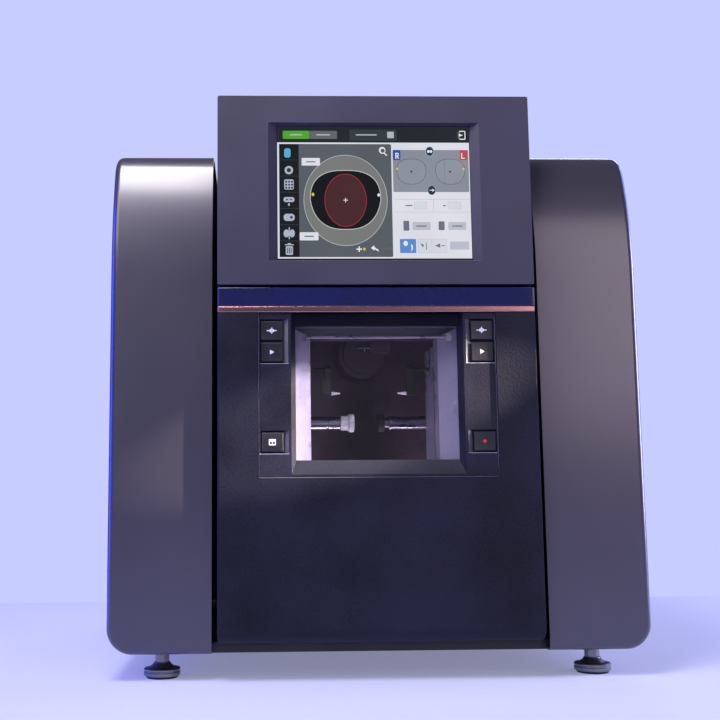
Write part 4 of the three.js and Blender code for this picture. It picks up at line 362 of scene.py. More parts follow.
# The bezel's grain is finer than the panel's. The pale edge bevel and the lighter grey pocket walls are
# painted highlights.
bezel_plastic = finished("fine_grained_black_abs", "1e1f36", "0a0b1b", (0.42, 0.54), 2.2, 0.5, patch=70,
                         Specular_IOR_Level=0.25)
edge_painted_highlight = finished("abs_edge_painted_highlight", "9496b4", "7f81a0", (0.3, 0.4), 1.5, 0.01, patch=20)
pocket_wall_painted_light = finished("pocket_wall_painted_highlight", "6c6b78", "54535f", (0.35, 0.5), 1.2, 0.15, patch=20)
# Near-black, dull and nearly without shine: painted shade for the strip above the window.
painted_shade_black = finished("black_painted_shade", "07081a", "04050f", (0.75, 0.9), 1.2, 0.03, Specular_IOR_Level=0.2)
low, high = reach_of("control_bezel")
caps = {cap: reach_of(cap) for cap in ["left_chuck_button", "left_start_button", "door_button"]}
upper = (caps["left_start_button"][0].z - POCKET_GAP, caps["left_chuck_button"][1].z + POCKET_GAP)
lower = (caps["door_button"][0].z - POCKET_GAP, caps["door_button"][1].z + POCKET_GAP)
bezel = bmesh.new()
plate(bezel, strip(low.x, high.x, low.z, high.z), "y", (low.y, high.y))
for x in [WINDOW_HALF, POCKET_IN, POCKET_OUT]:
    cut_at(bezel, (x, 0, 0), (1, 0, 0))
    cut_at(bezel, (-x, 0, 0), (1, 0, 0))
for z in [SILL, *upper, *lower]:
    cut_at(bezel, (0, 0, z), (0, 0, 1))
for pocket in [upper, lower]:
    floor = [face for face in bezel.faces if front_face_in(face, (POCKET_IN, POCKET_OUT), pocket)]
    sunk = bmesh.ops.extrude_face_region(bezel, geom=floor)
    bmesh.ops.delete(bezel, geom=floor, context="FACES")
    for corner in sunk["geom"]:
        if isinstance(corner, bmesh.types.BMVert):
            corner.co.y += POCKET_DEEP
            if abs(corner.co.x) < POCKET_IN + 1:
                corner.co.x = math.copysign(POCKET_FLOOR, corner.co.x)
bmesh.ops.recalc_face_normals(bezel, faces=bezel.faces)
opening = [face for face in bezel.faces if front_face_in(face, (-1, WINDOW_HALF), (SILL, high.z))]
opening += [face for face in bezel.faces if face.normal.y > 0.9 and face.calc_center_median().y > high.y - 1]
opening += [face for face in bezel.faces if face.normal.z > 0.9
            and face.calc_center_median().z > high.z - 0.1
            and abs(face.calc_center_median().x) < WINDOW_HALF]
bmesh.ops.delete(bezel, geom=opening, context="FACES")
frame_edges = [edge for edge in bezel.edges if edge.is_boundary
               and all(abs(corner.co.y - low.y) < NEAR and abs(corner.co.x) < WINDOW_HALF + NEAR
                       for corner in edge.verts)
               and not all(corner.co.z > high.z - NEAR for corner in edge.verts)]
splay = bmesh.ops.extrude_edge_only(bezel, edges=frame_edges)
for corner in splay["geom"]:
    if isinstance(corner, bmesh.types.BMVert):
        corner.co.y = high.y
        if abs(corner.co.x) > WINDOW_HALF - NEAR:
            corner.co.x = math.copysign(WINDOW_DEEP_HALF, corner.co.x)
        if abs(corner.co.z - SILL) < NEAR:
            corner.co.z = SILL_DEEP
bmesh.ops.recalc_face_normals(bezel, faces=bezel.faces)
on_front = [edge for edge in bezel.edges if len(edge.link_faces) == 2 and edge.calc_face_angle(0) > 0.4
            and all(corner.co.y < low.y + NEAR for corner in edge.verts)]
highlight_edges = []
for edge in on_front:
    ends = [corner.co for corner in edge.verts]
    rim_edge = all(abs(end.x) > high.x - NEAR for end in ends) or all(end.z < low.z + NEAR for end in ends)
    pocket_foot = any(all(abs(end.z - foot) < NEAR for end in ends) for foot in (upper[0], lower[0]))
    if rim_edge or pocket_foot:
        highlight_edges.append(edge)
# The chosen edges get a pale bevel in the second slot: a painted highlight line.
bmesh.ops.bevel(bezel, geom=highlight_edges, offset=HIGHLIGHT_WIDE, offset_type="OFFSET", segments=2, profile=0.5,
                affect="EDGES", material=1, clamp_overlap=True)
soft = [edge for edge in bezel.edges if len(edge.link_faces) == 2 and edge.calc_face_angle(0) > SHARP_TURN
        and all(face.material_index == 0 for face in edge.link_faces)]
ease(bezel, soft, 0.4)
# Sloped pocket side walls get a lighter grey material in the third slot: a painted highlight.
for face in bezel.faces:
    off_middle = abs(face.calc_center_median().x)
    if (face.material_index == 0 and abs(face.normal.x) > 0.3
            and POCKET_IN - 1 < off_middle < POCKET_FLOOR + 1):
        face.material_index = 2
bmesh.ops.solidify(bezel, geom=bezel.faces, thickness=BEZEL_WALL)
bmesh.ops.recalc_face_normals(bezel, faces=bezel.faces)
moulding = made("control_bezel_moulding", bezel, bezel_plastic, "chassis", "control_bezel")
moulding.data.materials.append(edge_painted_highlight)
moulding.data.materials.append(pocket_wall_painted_light)
header_half = WINDOW_DEEP_HALF + HEADER_LAP
# A near-black strip above the window: painted shade in the hood's throat.
header = bmesh.new()
plate(header, strip(-header_half, header_half, HEADER_FOOT, high.z), "y", (high.y - HEADER_THICK, high.y))
ease(header, header.edges, 0.5)
made("window_header_painted_shade", header, painted_shade_black, "chassis")


# Push buttons: satin black caps in the pockets, each with a small pale symbol printed on it.
# They are pressed straight in against a spring. The symbols are plain marks for clamp, start, door and power.
# Satin plastic is near black with a soft highlight, and pad-printed ink lies on it flat and a little chalky.
cap_plastic = finished("satin_button_plastic", "1c1b2a", "141320", (0.32, 0.42), 2.2, 0.02, patch=12)
print_white = finished("pad_printed_pale_ink", "e4e6f8", "d6d8ee", (0.45, 0.6), 1.5, 0.01, patch=8)
print_red = finished("pad_printed_red_ink", "e0182a", "cc1424", (0.45, 0.6), 1.5, 0.01, patch=8)
CAP_DISH, INK_THICK, INK_SUNK = 0.5, 0.12, 0.02


def stamp(marks, outline, reach):
    """Adds one thin mark between two distances along y, closed by itself so that marks may touch."""
    mark = bmesh.new()
    plate(mark, outline, "y", reach)
    kept = bpy.data.meshes.new("mark")
    mark.to_mesh(kept)
    mark.free()
    marks.from_mesh(kept)
    bpy.data.meshes.remove(kept)


def printed(name, outlines, ink, cap):
    """Flat marks printed on the dished front of a cap, as outlines in millimetres about its middle."""
    low, high = reach_of(cap)
    middle_x, middle_z = (low.x + high.x) / 2, (low.z + high.z) / 2
    dish = low.y + CAP_DISH
    marks = bmesh.new()
    for outline in outlines:
        stamp(marks, [(middle_x + u, middle_z + v) for u, v in outline], (dish - INK_THICK, dish + INK_SUNK))
    made(name, marks, ink, nodes[cap]["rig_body"])


clamp_mark = [strip(-5.4, -2.2, -0.5, 0.5), strip(2.2, 5.4, -0.5, 0.5),
              [(-2.5, -1.0), (-0.8, -2.2), (-0.8, 2.2), (-2.5, 1.0)],
              [(0.8, -2.2), (2.5, -1.0), (2.5, 1.0), (0.8, 2.2)], strip(-0.45, 0.45, -3.3, 3.3)]
start_mark = [[(-2.0, -2.5), (2.6, 0), (-2.0, 2.5)]]
door_mark = [strip(-3.6, 3.6, 0.7, 3.2), strip(-3.6, 3.6, -3.2, -2.3), strip(-3.6, -2.7, -2.3, 0.7),
             strip(2.7, 3.6, -2.3, 0.7), strip(-0.4, 0.4, -2.3, 0.7)]
power_mark = [arc((0, 0), 1.8, 0, 345, 16)]
symbols = {"left_chuck_button": clamp_mark, "left_start_button": start_mark, "door_button": door_mark,
           "right_chuck_button": clamp_mark, "right_start_button": start_mark, "power_button": power_mark}
for cap, marks in symbols.items():
    eased(cap, cap_plastic, 0.45, 3)
    printed(cap + "_mark", marks, print_red if cap == "power_button" else print_white, cap)


# Accent: a polished copper-coloured trim strip with a high-gloss navy band above it, across the front.
# They sit between the display and the panel, held from behind.
# Anodised aluminium is a warm pink metal drawn lengthways, and piano gloss is clear-coated until it mirrors.
copper_anodised = finished("copper_anodised_aluminium", "c99aa0", "b5868c", (0.2, 0.3), 0.9, 0.01, patch=30,
                           metallic=1, stretch=(0.04, 1, 1))
navy_gloss = finished("piano_gloss_navy", "181c50", "121540", (0.06, 0.1), 4, 0.004, patch=80,
                      Coat_Weight=1.0, Coat_Roughness=0.04)
eased("accent_trim", copper_anodised, 0.9, 3)
eased("accent_band", navy_gloss, 0.8, 3)


# Display housing: a matte black front frame with a sunk bevel round the screen, and a rear cover on two pins.
# It leans back about the pins. Screen edge and bevel are crisp, outer edges only just broken.
# Matte ABS is an even blue-black that takes a broad faint sheen and hides its moulding.
matte_black = finished("matte_black_abs", "34334b", "2b2a42", (0.45, 0.55), 1.5, 0.06, patch=90)
eased("display_bezel", matte_black, 0.6, 3)
eased("display_rear_cover", matte_black, 0.8, 2)


# Touch screen: a liquid crystal panel under bonded glass, which shows a plain page for laying out a lens.
# The page is built up of paper-thin lit layers: bars, fields, a lens outline in a circle and plain symbols.
# Bonded glass is flat, black and mirror smooth where nothing is lit.
screen_black = finished("bonded_screen_glass", "14171a", "101215", (0.05, 0.08), 5, 0.002, patch=90,
                        Coat_Weight=1.0)
eased("lcd_screen", screen_black, 0.4)
screen_low, screen_high = reach_of("lcd_screen")
BORDER, LAYER, LAYER_THICK = 5, 0.04, 0.036
ICON_TOP, ICON_ROW, ICON_ROWS = 20.2, 18.1, 7
page_left, page_top = screen_low.x + BORDER, screen_high.z - BORDER
page_wide, page_high = screen_high.x - screen_low.x - 2 * BORDER, screen_high.z - screen_low.z - 2 * BORDER


def lit(name, shade):
    """A lit colour behind glossy glass, with the faint unevenness of a backlight about 40 mm across."""
    material = bpy.data.materials.new("lit_" + name)
    material.use_nodes = True
    tree = material.node_tree
    shader = tree.nodes["Principled BSDF"]
    place = add(tree, "ShaderNodeTexCoord")
    cloud = add(tree, "ShaderNodeTexNoise", {"Scale": 25, "Detail": 1}, {"Vector": place.outputs["Object"]})
    dimmed = [part * 0.86 for part in colour(shade)[:3]] + [1]
    glow = add(tree, "ShaderNodeMix", {"data_type": "RGBA", 6: dimmed, 7: colour(shade)},
               {0: cloud.outputs["Fac"]})
    tree.links.new(glow.outputs[2], shader.inputs["Emission Color"])
    shader.inputs["Emission Strength"].default_value = 0.95
    shader.inputs["Base Color"].default_value = colour("0a0b0c")
    shader.inputs["Roughness"].default_value = 0.12
    return material


def oval(x, y, wide, high, steps=40):
    """An ellipse on the page, by its middle and half sizes."""
    return [(x + wide * math.cos(math.tau * step / steps), y + high * math.sin(math.tau * step / steps))
            for step in range(steps)]


def card(x0, y0, x1, y1, corner=1):
    """A rectangle on the page with rounded corners."""
    return (arc((x1 - corner, y1 - corner), corner, 0, 90, 4)
            + arc((x0 + corner, y1 - corner), corner, 90, 180, 4)
            + arc((x0 + corner, y0 + corner), corner, 180, 270, 4)
            + arc((x1 - corner, y0 + corner), corner, 270, 360, 4))


def lens(x, y, wide, high, steps=48):
    """A spectacle lens's outline: flat on top, full below."""
    outline = []
    for step in range(steps):
        angle = math.tau * step / steps
        aside = abs(math.cos(angle)) ** 0.75 * math.copysign(1, math.cos(angle))
        down = abs(math.sin(angle)) ** 0.8 * math.copysign(1, math.sin(angle))
        outline.append((x + wide * aside * (1 - 0.14 * max(down, 0)), y + high * down))
    return outline


def draw(name, shade, *layered):
    """One piece of the page: outlines in one colour, each with its layer, from the page's top left corner."""
    sheet = bmesh.new()
    for layer, outline in layered:
        back = screen_low.y - LAYER * layer
        stamp(sheet, [(page_left + x, page_top - y) for x, y in outline], (back, back - LAYER_THICK))
    piece = made("page_" + name, sheet, lit(name, shade), "display")


# Grounds: the whole page, its white sheet, the grey work area and the column of icons.
draw("header_bar", "20272b", (0, strip(0, page_wide, 0, page_high)))
draw("white_sheet", "e8e8f2", (1, strip(0, page_wide, 18.4, 148.2)), (6, card(26.6, 36.0, 46.7, 44.6)),
     (6, card(23.8, 119.2, 44.2, 128.2)), (6, strip(73.0, 75.4, 83.0, 83.9)),
     (6, strip(73.75, 74.65, 81.8, 85.0)),
     (6, oval(110.4, 77.6, 1.4, 1.8, 16)))
draw("work_area", "5b6168", (2, card(2, 20.2, 125, 146.6, 1.5)), (5, oval(115.6, 27.6, 2.3, 2.3, 20)),
     (4, strip(183.2, 183.5, 36, 66)), (5, oval(106.6, 77.6, 0.9, 1.3, 12)),
     (5, oval(42.2, 77.6, 0.9, 1.3, 12)))
draw("icon_column", "14171a", (3, strip(2, 23.5, 20.2, 146.6)))
lines = [ICON_TOP + ICON_ROW * row for row in range(1, ICON_ROWS)]
draw("column_lines", "3d4348", *[(4, strip(2.4, 23.2, line - 0.25, line + 0.25)) for line in lines])
# Work area: a lens blank in a circle, the frame's shape in it, the block that holds it and small marks.
draw("circle_rim", "c4c6c6", (3, oval(74.2, 83.4, 45.8, 50.9, 72)))
draw("circle_fill", "7d7f7e", (4, oval(74.2, 83.4, 45.2, 50.3, 72)))
draw("frame_rim", "d3d6d6", (5, lens(74.2, 83.0, 38.9, 33.4)))
draw("frame_fill", "0c0f0d", (6, lens(74.2, 83.0, 38.2, 32.7)))
draw("block_rim", "c8323f", (7, oval(74.2, 83.4, 23.0, 29.6, 56)))
draw("block_fill", "4b2628", (8, oval(74.2, 83.4, 22.5, 29.1, 56)))
draw("centre_cross", "f4f4f6", (9, strip(71.8, 76.6, 83.0, 83.8)), (9, strip(73.8, 74.6, 80.9, 85.9)),
     (7, oval(110.4, 77.6, 1.4, 1.8, 16)), (4, oval(115.2, 27.2, 3.6, 3.9, 24)),
     (4, [(117.4, 29.6), (120.6, 32.6), (119.8, 33.6), (116.6, 30.6)]),
     (4, strip(85.2, 91.2, 137.2, 138.6)), (4, strip(87.5, 88.9, 134.9, 140.9)),
     (4, [(101.0, 136.6), (104.6, 133.6), (104.6, 135.6), (109.0, 138.6), (109.6, 140.6), (104.6, 137.8),
          (104.6, 139.6)]),
     (3, card(200.4, 4.8, 207.4, 14.9, 1.2)), (5, strip(200.2, 204.2, 9.3, 10.3)),
     (5, [(200.4, 7.9), (203.6, 9.8), (200.4, 11.7)]))
draw("yellow_marks", "e6d42c", (7, oval(38.6, 77.0, 1.5, 1.9, 16)), (5, oval(131.4, 48.2, 1.2, 1.3, 16)),
     (5, oval(204.2, 48.2, 1.2, 1.3, 16)), (4, oval(93.8, 137.8, 1.3, 1.6, 16)))
# Header: three tabs with dashes for words and a way out at the right.
draw("green_tab", "54ae2c", (1, card(6.2, 5.2, 35.3, 14.4)))
draw("grey_tab", "646a6c", (1, card(35.5, 5.2, 65.8, 14.4)), (4, strip(198.8, 202.6, 6.0, 13.7)),
     (4, [(119.0, 137.6), (122.4, 134.4), (122.4, 139.8)]), (4, strip(115.0, 119.4, 136.8, 138.2)))
draw("dark_tab", "353e42", (1, card(79.6, 3.6, 131.4, 16.2)))
draw("header_words", "b9c2c4", (2, strip(14, 27, 9.0, 10.4)), (2, strip(43, 58, 9.0, 10.4)),
     (2, strip(86.5, 109.5, 9.0, 10.3)), (2, card(121, 6.0, 128.3, 13.3, 0.8)))
draw("exit_inside", "20272b", (4, card(201.4, 5.8, 206.4, 13.9, 0.6)))
# Right column: both lenses with their badges, then fields, dashes for words, and plain buttons.
draw("lens_panel", "8f94a1", (2, card(126.6, 26.7, 210.0, 74.2, 1.2)))
draw("lens_lines", "40444c", (3, lens(146.8, 51.2, 16.4, 14.4)), (3, lens(189.4, 51.2, 16.4, 14.4)))
draw("lens_faces", "9398a5", (4, lens(146.8, 51.2, 16.0, 14.0)), (4, lens(189.4, 51.2, 16.0, 14.0)))
draw("lens_dots", "2c3036", (5, oval(146.8, 51.2, 1.0, 1.1, 16)), (5, oval(189.4, 51.2, 1.0, 1.1, 16)),
     (6, oval(167.4, 28.4, 4.1, 5.0, 28)), (6, oval(168.6, 72.2, 4.1, 5.0, 28)))
draw("badge_rims", "8fc3e6", (5, oval(167.4, 28.4, 4.8, 5.7, 28)), (5, oval(168.6, 72.2, 4.5, 5.4, 28)))
draw("badge_signs", "e9eef2", (7, oval(166.0, 28.4, 1.5, 1.6, 16)), (7, oval(168.9, 28.4, 1.5, 1.6, 16)),
     (7, strip(166.2, 169.6, 71.8, 72.6)), (7, [(169.4, 70.4), (171.8, 72.2), (169.4, 74.0)]),
     (5, strip(129.4, 130.7, 30.0, 36.6)), (5, strip(129.4, 132.8, 30.0, 31.1)),
     (5, strip(129.4, 132.8, 33.0, 34.0)), (5, strip(132.0, 133.2, 30.4, 33.6)),
     (5, [(130.9, 34.0), (132.3, 34.0), (133.7, 36.6), (132.2, 36.6)]),
     (5, strip(202.0, 203.3, 30.0, 36.6)), (5, strip(202.0, 206.0, 35.5, 36.6)))
draw("right_badge", "2458ab", (4, card(126.6, 26.7, 135.1, 38.2, 0.9)))
draw("left_badge", "c84a52", (4, card(200.4, 26.7, 208.8, 38.2, 0.9)))
draw("field_lines", "c3c5d4", (2, strip(127.6, 211, 82.2, 82.7)), (2, strip(127.6, 211, 96.4, 96.9)),
     (2, strip(169.9, 170.3, 82.5, 96.6)), (2, card(149.0, 85.1, 163.2, 93.4, 0.6)),
     (2, card(185.8, 85.1, 200.5, 93.4, 0.6)), (2, card(146.6, 107.8, 166.4, 116.6, 0.8)),
     (2, card(185.8, 107.8, 205.4, 116.6, 0.8)), (2, card(152.2, 126.6, 167.3, 142.0, 0.8)),
     (2, card(168.2, 126.6, 183.8, 142.0, 0.8)), (2, card(187.2, 129.6, 208.0, 138.4, 0.8)))
draw("field_faces", "dfe0ec",
     (3, card(149.4, 85.5, 162.8, 93.0, 0.5)), (3, card(186.2, 85.5, 200.1, 93.0, 0.5)),
     (3, card(152.6, 127.0, 166.9, 141.6, 0.6)), (3, card(168.6, 127.0, 183.4, 141.6, 0.6)))
draw("field_words", "70758a", (2, strip(139.5, 147.0, 88.7, 90.0)), (2, strip(180.6, 183.6, 88.7, 90.0)),
     (4, strip(150.8, 162.0, 111.6, 112.9)), (4, strip(190.0, 201.2, 111.6, 112.9)),
     (7, strip(31.6, 41.8, 39.7, 41.0)), (7, strip(29.0, 39.2, 123.0, 124.4)),
     (2, card(136.8, 106.4, 143.2, 117.4, 1.0)), (2, card(175.2, 107.0, 181.8, 116.8, 1.0)),
     (4, [(154.6, 131.0), (159.0, 133.4), (157.4, 136.0)]), (4, strip(161.0, 161.8, 130.5, 138.6)),
     (4, [(170.6, 134.0), (176.4, 131.6), (176.4, 136.4)]), (4, strip(177.6, 181.4, 133.6, 134.6)))
draw("blue_button", "6090d8", (2, card(132.6, 126.6, 150.2, 142.2, 0.8)))
draw("button_signs", "f2f4fb", (3, oval(138.8, 131.6, 2.4, 2.8, 20)),
     (3, [(145.0, 132.0), (146.6, 134.4), (146.6, 138.0), (144.4, 140.4), (145.2, 137.4), (144.6, 134.4)]))
# Icons: a drop, a dial, a grid, a frame, a switch, two lenses and a bin.
draw("icons_pale", "b4bece", (5, card(8.0, 45.2, 17.2, 54.4, 4.2)), (5, card(7.4, 60.2, 17.8, 71.6, 1.6)),
     (5, card(6.6, 80.0, 18.4, 85.6, 2.4)), (5, oval(12.4, 88.4, 1.1, 1.5, 12)),
     (5, card(6.6, 98.6, 18.6, 106.6, 3.4)), (5, oval(9.4, 120.4, 3.0, 4.4, 20)),
     (5, oval(15.6, 120.4, 3.0, 4.4, 20)), (5, strip(11.9, 13.1, 113.6, 126.8)),
     (5, card(8.6, 134.6, 16.4, 144.2, 1.2)), (5, strip(7.8, 17.2, 132.4, 133.6)),
     (5, strip(10.8, 14.2, 131.2, 132.4)))
draw("icons_cyan", "58b7d6", (5, card(7.6, 25.2, 14.6, 35.6, 2.4)))
draw("icons_dark", "2a3036", (6, oval(12.6, 49.8, 2.4, 2.4, 20)),
     *[(6, strip(8.6 + 3.2 * column, 10.6 + 3.2 * column, 61.8 + 3.4 * row, 63.8 + 3.4 * row))
       for row in range(3) for column in range(3)],
     (6, strip(9.0, 11.4, 82.2, 83.4)), (6, strip(13.4, 15.8, 82.2, 83.4)),
     (6, oval(15.0, 102.6, 1.5, 1.5, 16)),
     *[(6, strip(10.2 + 1.9 * slit, 11.0 + 1.9 * slit, 136.4, 142.4)) for slit in range(3)])


# Sliding window: a tempered pane in two steel channels, carried on a strip that a lead screw lowers.
# A thin satin steel rail runs across the pane's top. Tempered glass is clear with a slight blue cast, smeared
# in patches some centimetres wide where it was wiped, and lets the lamps through to the chamber.
clear_glass = bpy.data.materials.new("tempered_clear_glass")
clear_glass.use_nodes = True
tree = clear_glass.node_tree
shader = tree.nodes["Principled BSDF"]
shader.inputs["Base Color"].default_value = colour("f1f3fb")
shader.inputs["IOR"].default_value = 1.5
shader.inputs["Transmission Weight"].default_value = 1.0
place = add(tree, "ShaderNodeTexCoord")
smear = add(tree, "ShaderNodeTexNoise", {"Scale": 18, "Detail": 3}, {"Vector": place.outputs["Object"]})
wiped = add(tree, "ShaderNodeMapRange", {"From Min": 0.45, "From Max": 0.75, "To Min": 0.01, "To Max": 0.06},
            {"Value": smear.outputs["Fac"]})
tree.links.new(wiped.outputs[0], shader.inputs["Roughness"])
ray = add(tree, "ShaderNodeLightPath")
clear = add(tree, "ShaderNodeBsdfTransparent", {"Color": colour("eceef8")})
pane = add(tree, "ShaderNodeMixShader", None,
           {0: ray.outputs["Is Shadow Ray"], 1: shader.outputs[0], 2: clear.outputs[0]})
tree.links.new(pane.outputs[0], tree.nodes["Material Output"].inputs["Surface"])
eased("door_glass", clear_glass, 0.5)
# Satin stainless tube is brushed round, so its highlight is a broad soft line.
satin_tube = finished("satin_stainless_tube", "8b8092", "746a7c", (0.26, 0.36), 0.8, 0.01, patch=18,
                      metallic=1)
eased("door_rail", satin_tube, 0.3)
# Ground steel is a bright metal with fine grinding lines along the part.
bright_steel = finished("ground_steel", "a9abb2", "8f9198", (0.2, 0.34), 0.7, 0.012, patch=20, metallic=1,
                        stretch=(0.1, 1, 1))
eased("door_screw", bright_steel, 0.2)


# Grinding chamber: a light grey gloss hood at the window, and behind it a dark sealed tub of moulded plastic.
# The hood's splayed sides catch the light. Its downward-facing ceiling gets the black panel plastic as
# painted shade, and a side wall with a notch for a feeler's rod closes the tub at the right. The tub is
# dulled by dried coolant, the hood only faintly clouded.
hood_plastic = finished("light_grey_moulding", "827d98", "716c88", (0.26, 0.42), 3, 0.02, patch=45)
tub_plastic = finished("dark_tub_moulding", "5c4658", "453441", (0.35, 0.65), 2.4, 0.05, patch=30)
hood = eased("chamber_hood", hood_plastic, 0.8, 3)
# Faces looking down get the black panel plastic: painted shade on the hood's ceiling.
hood.data.materials.append(black_abs)
for face in hood.data.polygons:
    if face.normal.z < -0.5:
        face.material_index = 1
eased("chamber_tub", tub_plastic, 0.8, 2)
eased("inspection_plate", tub_plastic, 0.5, 2)
WALL_IN, WALL_THICK, WALL_BACK, WALL_GAP, WALL_FOOT_UP, WALL_TOP_DOWN = 70, 2, -142, 0.3, 19, 21
NOTCH_HALF, NOTCH_DEEP = 7, 31
hood_low, hood_high = reach_of("chamber_hood")
rod_low, rod_high = reach_of("right_feeler")
wall_foot, wall_top = hood_low.z + WALL_FOOT_UP, hood_high.z - WALL_TOP_DOWN
wall_front = hood_high.y + WALL_GAP
rod_y = (rod_low.y + rod_high.y) / 2
notch_front, notch_back, notch_foot = rod_y - NOTCH_HALF, rod_y + NOTCH_HALF, wall_top - NOTCH_DEEP
side_wall = bmesh.new()
plate(side_wall, [(wall_front, wall_foot), (WALL_BACK, wall_foot), (WALL_BACK, wall_top),
                  (notch_back, wall_top), (notch_back, notch_foot), (notch_front, notch_foot),
                  (notch_front, wall_top), (wall_front, wall_top)], "x", (WALL_IN, WALL_IN + WALL_THICK))
ease(side_wall, side_wall.edges, 0.5)
made("tunnel_side_wall", side_wall, hood_plastic, "chassis")


# Lens shafts and their travelling head: cast head, ground steel shafts, a white adapter cup and a black pad.
# The cup and the pad hold the lens between them, and both shafts turn it together. Paint on a casting is
# coarse and dull, chrome mirrors, nylon is waxy white, and rubber takes no shine.
cast_grey = finished("painted_casting", "7d7f86", "6b6d74", (0.45, 0.6), 2.0, 0.08, patch=50, metallic=0.3)
white_nylon = finished("white_nylon", "e8e7ee", "d9d8e2", (0.35, 0.5), 1.6, 0.02, patch=10)
polished_chrome = finished("polished_chrome", "d9dbe0", "c9cbd1", (0.06, 0.16), 3, 0.006, patch=25,
                           metallic=1)
black_rubber = finished("black_rubber", "1b1b1e", "131315", (0.6, 0.8), 1.2, 0.05, patch=20)
for head_part in ["lens_head", "carriage", "spindle_bearing"]:
    eased(head_part, cast_grey, 0.6)
for turned_part in ["left_lens_shaft", "clamp_quill", "lift_screw", "wheel_spindle", "motor_pulley",
                    "tool_spindle"]:
    eased(turned_part, bright_steel, 0.25)
eased("right_lens_shaft", satin_tube, 0.25)
for rod in ["lower_guide_rod", "upper_guide_rod"]:
    eased(rod, polished_chrome, 0.25)
eased("lens_adapter_cup", white_nylon, 0.4)
eased("clamp_pad", black_rubber, 0.8, 3)


# Wheels and drive: bonded diamond wheels on steel, a finned motor, and a flat belt over two pulleys.
# Bonded diamond is a dull sandy crust, coarser on the roughing wheel. Grit is drawn coarser than the real
# tenth of a millimetre so that it shows. Motor enamel is a thick black coat with a low shine.
coarse_grit = finished("bonded_diamond_coarse", "a39c90", "6f685e", (0.8, 0.95), 0.9, 0.15, patch=6,
                       metallic=0.2)
fine_grit = finished("bonded_diamond_fine", "b5a88f", "8f836c", (0.7, 0.85), 0.7, 0.06, patch=8, metallic=0.2)
motor_paint = finished("black_motor_enamel", "3a3b40", "2c2d31", (0.35, 0.5), 2, 0.05, patch=40, metallic=0.2)
eased("roughing_wheel", coarse_grit, 0.4)
eased("finishing_wheel", fine_grit, 0.2)
eased("spindle_motor", motor_paint, 0.8)
eased("drive_belt", black_rubber, 0.3)


# Feelers and tool head: two thin arms whose tips touch the lens's faces, and the drilling tool's drum.
# The arms are sleeved in rubber and end in a clamping knuckle. The tips are glazed white ceramic, which stays
# bright and hard against the dark tub.
white_ceramic = finished("white_ceramic", "ecebf2", "dddce6", (0.2, 0.3), 1, 0.01, patch=8)
TIP_REACH, TIP_GAP, ARM_WIDE, KNUCKLE_WIDE, KNUCKLE_HIGH = 43, 0.5, 7, 4, 17
for arm in ["right_feeler", "left_feeler"]:
    feeler = eased(arm, black_rubber, 0.4)
    feeler.data.materials.append(white_ceramic)
    for face in feeler.data.polygons:
        if abs(face.center.x) * 1000 < TIP_REACH:
            face.material_index = 1
eased("tool_head", tub_plastic, 0.8, 3)
for arm, side in [("right_feeler", 1), ("left_feeler", -1)]:
    arm_low, arm_high = reach_of(arm)
    near = side * (TIP_REACH + TIP_GAP + ARM_WIDE)
    far = near + side * KNUCKLE_WIDE
    arm_y = (arm_low.y + arm_high.y) / 2
    knuckle = bmesh.new()
    plate(knuckle, strip(near, far, arm_low.z, arm_low.z + KNUCKLE_HIGH), "y",
          (arm_y - ARM_WIDE / 2, arm_y + ARM_WIDE / 2))
    ease(knuckle, knuckle.edges, 0.5)
    made(arm + "_knuckle", knuckle, black_rubber, nodes[arm]["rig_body"])


# Shaft screws: two small button-head screws that clamp the right lens shaft's tube to its core.
# They are the same ground steel as the shafts.
def screws(name, body, spots, seat, out, radius, steel):
    """Button-head screws with a round socket, whose heads stand on y = seat and face along out, -1 or 1."""
    heads = bmesh.new()
    high, socket = radius * 0.55 * out, radius * 0.42
    for spot in spots:
        lathe(heads, [(0, seat), (radius, seat), (radius, seat + high * 0.4), (radius * 0.8, seat + high),
                      (socket, seat + high), (socket, seat + high * 0.3), (0, seat + high * 0.3)],
              "y", spot, 20)
    made(name, heads, steel, body)


tube_low, tube_high = reach_of("right_lens_shaft")
tube_z = (tube_low.z + tube_high.z) / 2
screws("tube_screws", nodes["right_lens_shaft"]["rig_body"],
       [(tube_low.x + 18, tube_z), (tube_low.x + 30, tube_z)], tube_low.y + 0.3, -1, 1.3, bright_steel)


# Rear: textured sheet with louvres and a fan guard, the fan, the mains inlet, its rocker and two hose barbs.
# Black screws hold the sheet, the fan and the inlet. The powder coat is pebbled and dull, the fan's plastic
# smoother, the barb bright yellow brass off the lathe, and the screws a dark oiled steel.
textured_coat = finished("textured_powder_coat", "2a2a2f", "1e1e22", (0.55, 0.7), 1.5, 0.14, patch=110)
turned_brass = finished("turned_brass", "c3a562", "ab8d4c", (0.22, 0.36), 0.8, 0.01, patch=12, metallic=1)
fan_plastic = finished("fan_plastic", "26262a", "1d1d20", (0.4, 0.55), 1.5, 0.03, patch=25)
eased("top_cover", textured_coat, 1.2, 3)
eased("rear_panel", textured_coat, 0.5)
eased("fan_frame", fan_plastic, 0.6)
eased("fan_rotor", fan_plastic, 0.4)
eased("power_inlet", fan_plastic, 0.5)
eased("power_switch", cap_plastic, 0.6, 3)
eased("water_inlet", turned_brass, 0.3)
eased("drain_pipe", black_rubber, 0.3)
black_steel = finished("blackened_steel", "3c3c42", "2c2c31", (0.3, 0.45), 0.8, 0.01, patch=8, metallic=0.8)
PANEL_SIDE_IN, PANEL_END_IN, FAN_IN, INLET_OUT = 7, 12, 4, 5
panel_low, panel_high = reach_of("rear_panel")
fan_low, fan_high = reach_of("fan_frame")
inlet_low, inlet_high = reach_of("power_inlet")
rows = [panel_low.z + PANEL_END_IN, (panel_low.z * 2 + panel_high.z) / 3,
        (panel_low.z + panel_high.z * 2) / 3, panel_high.z - PANEL_END_IN]
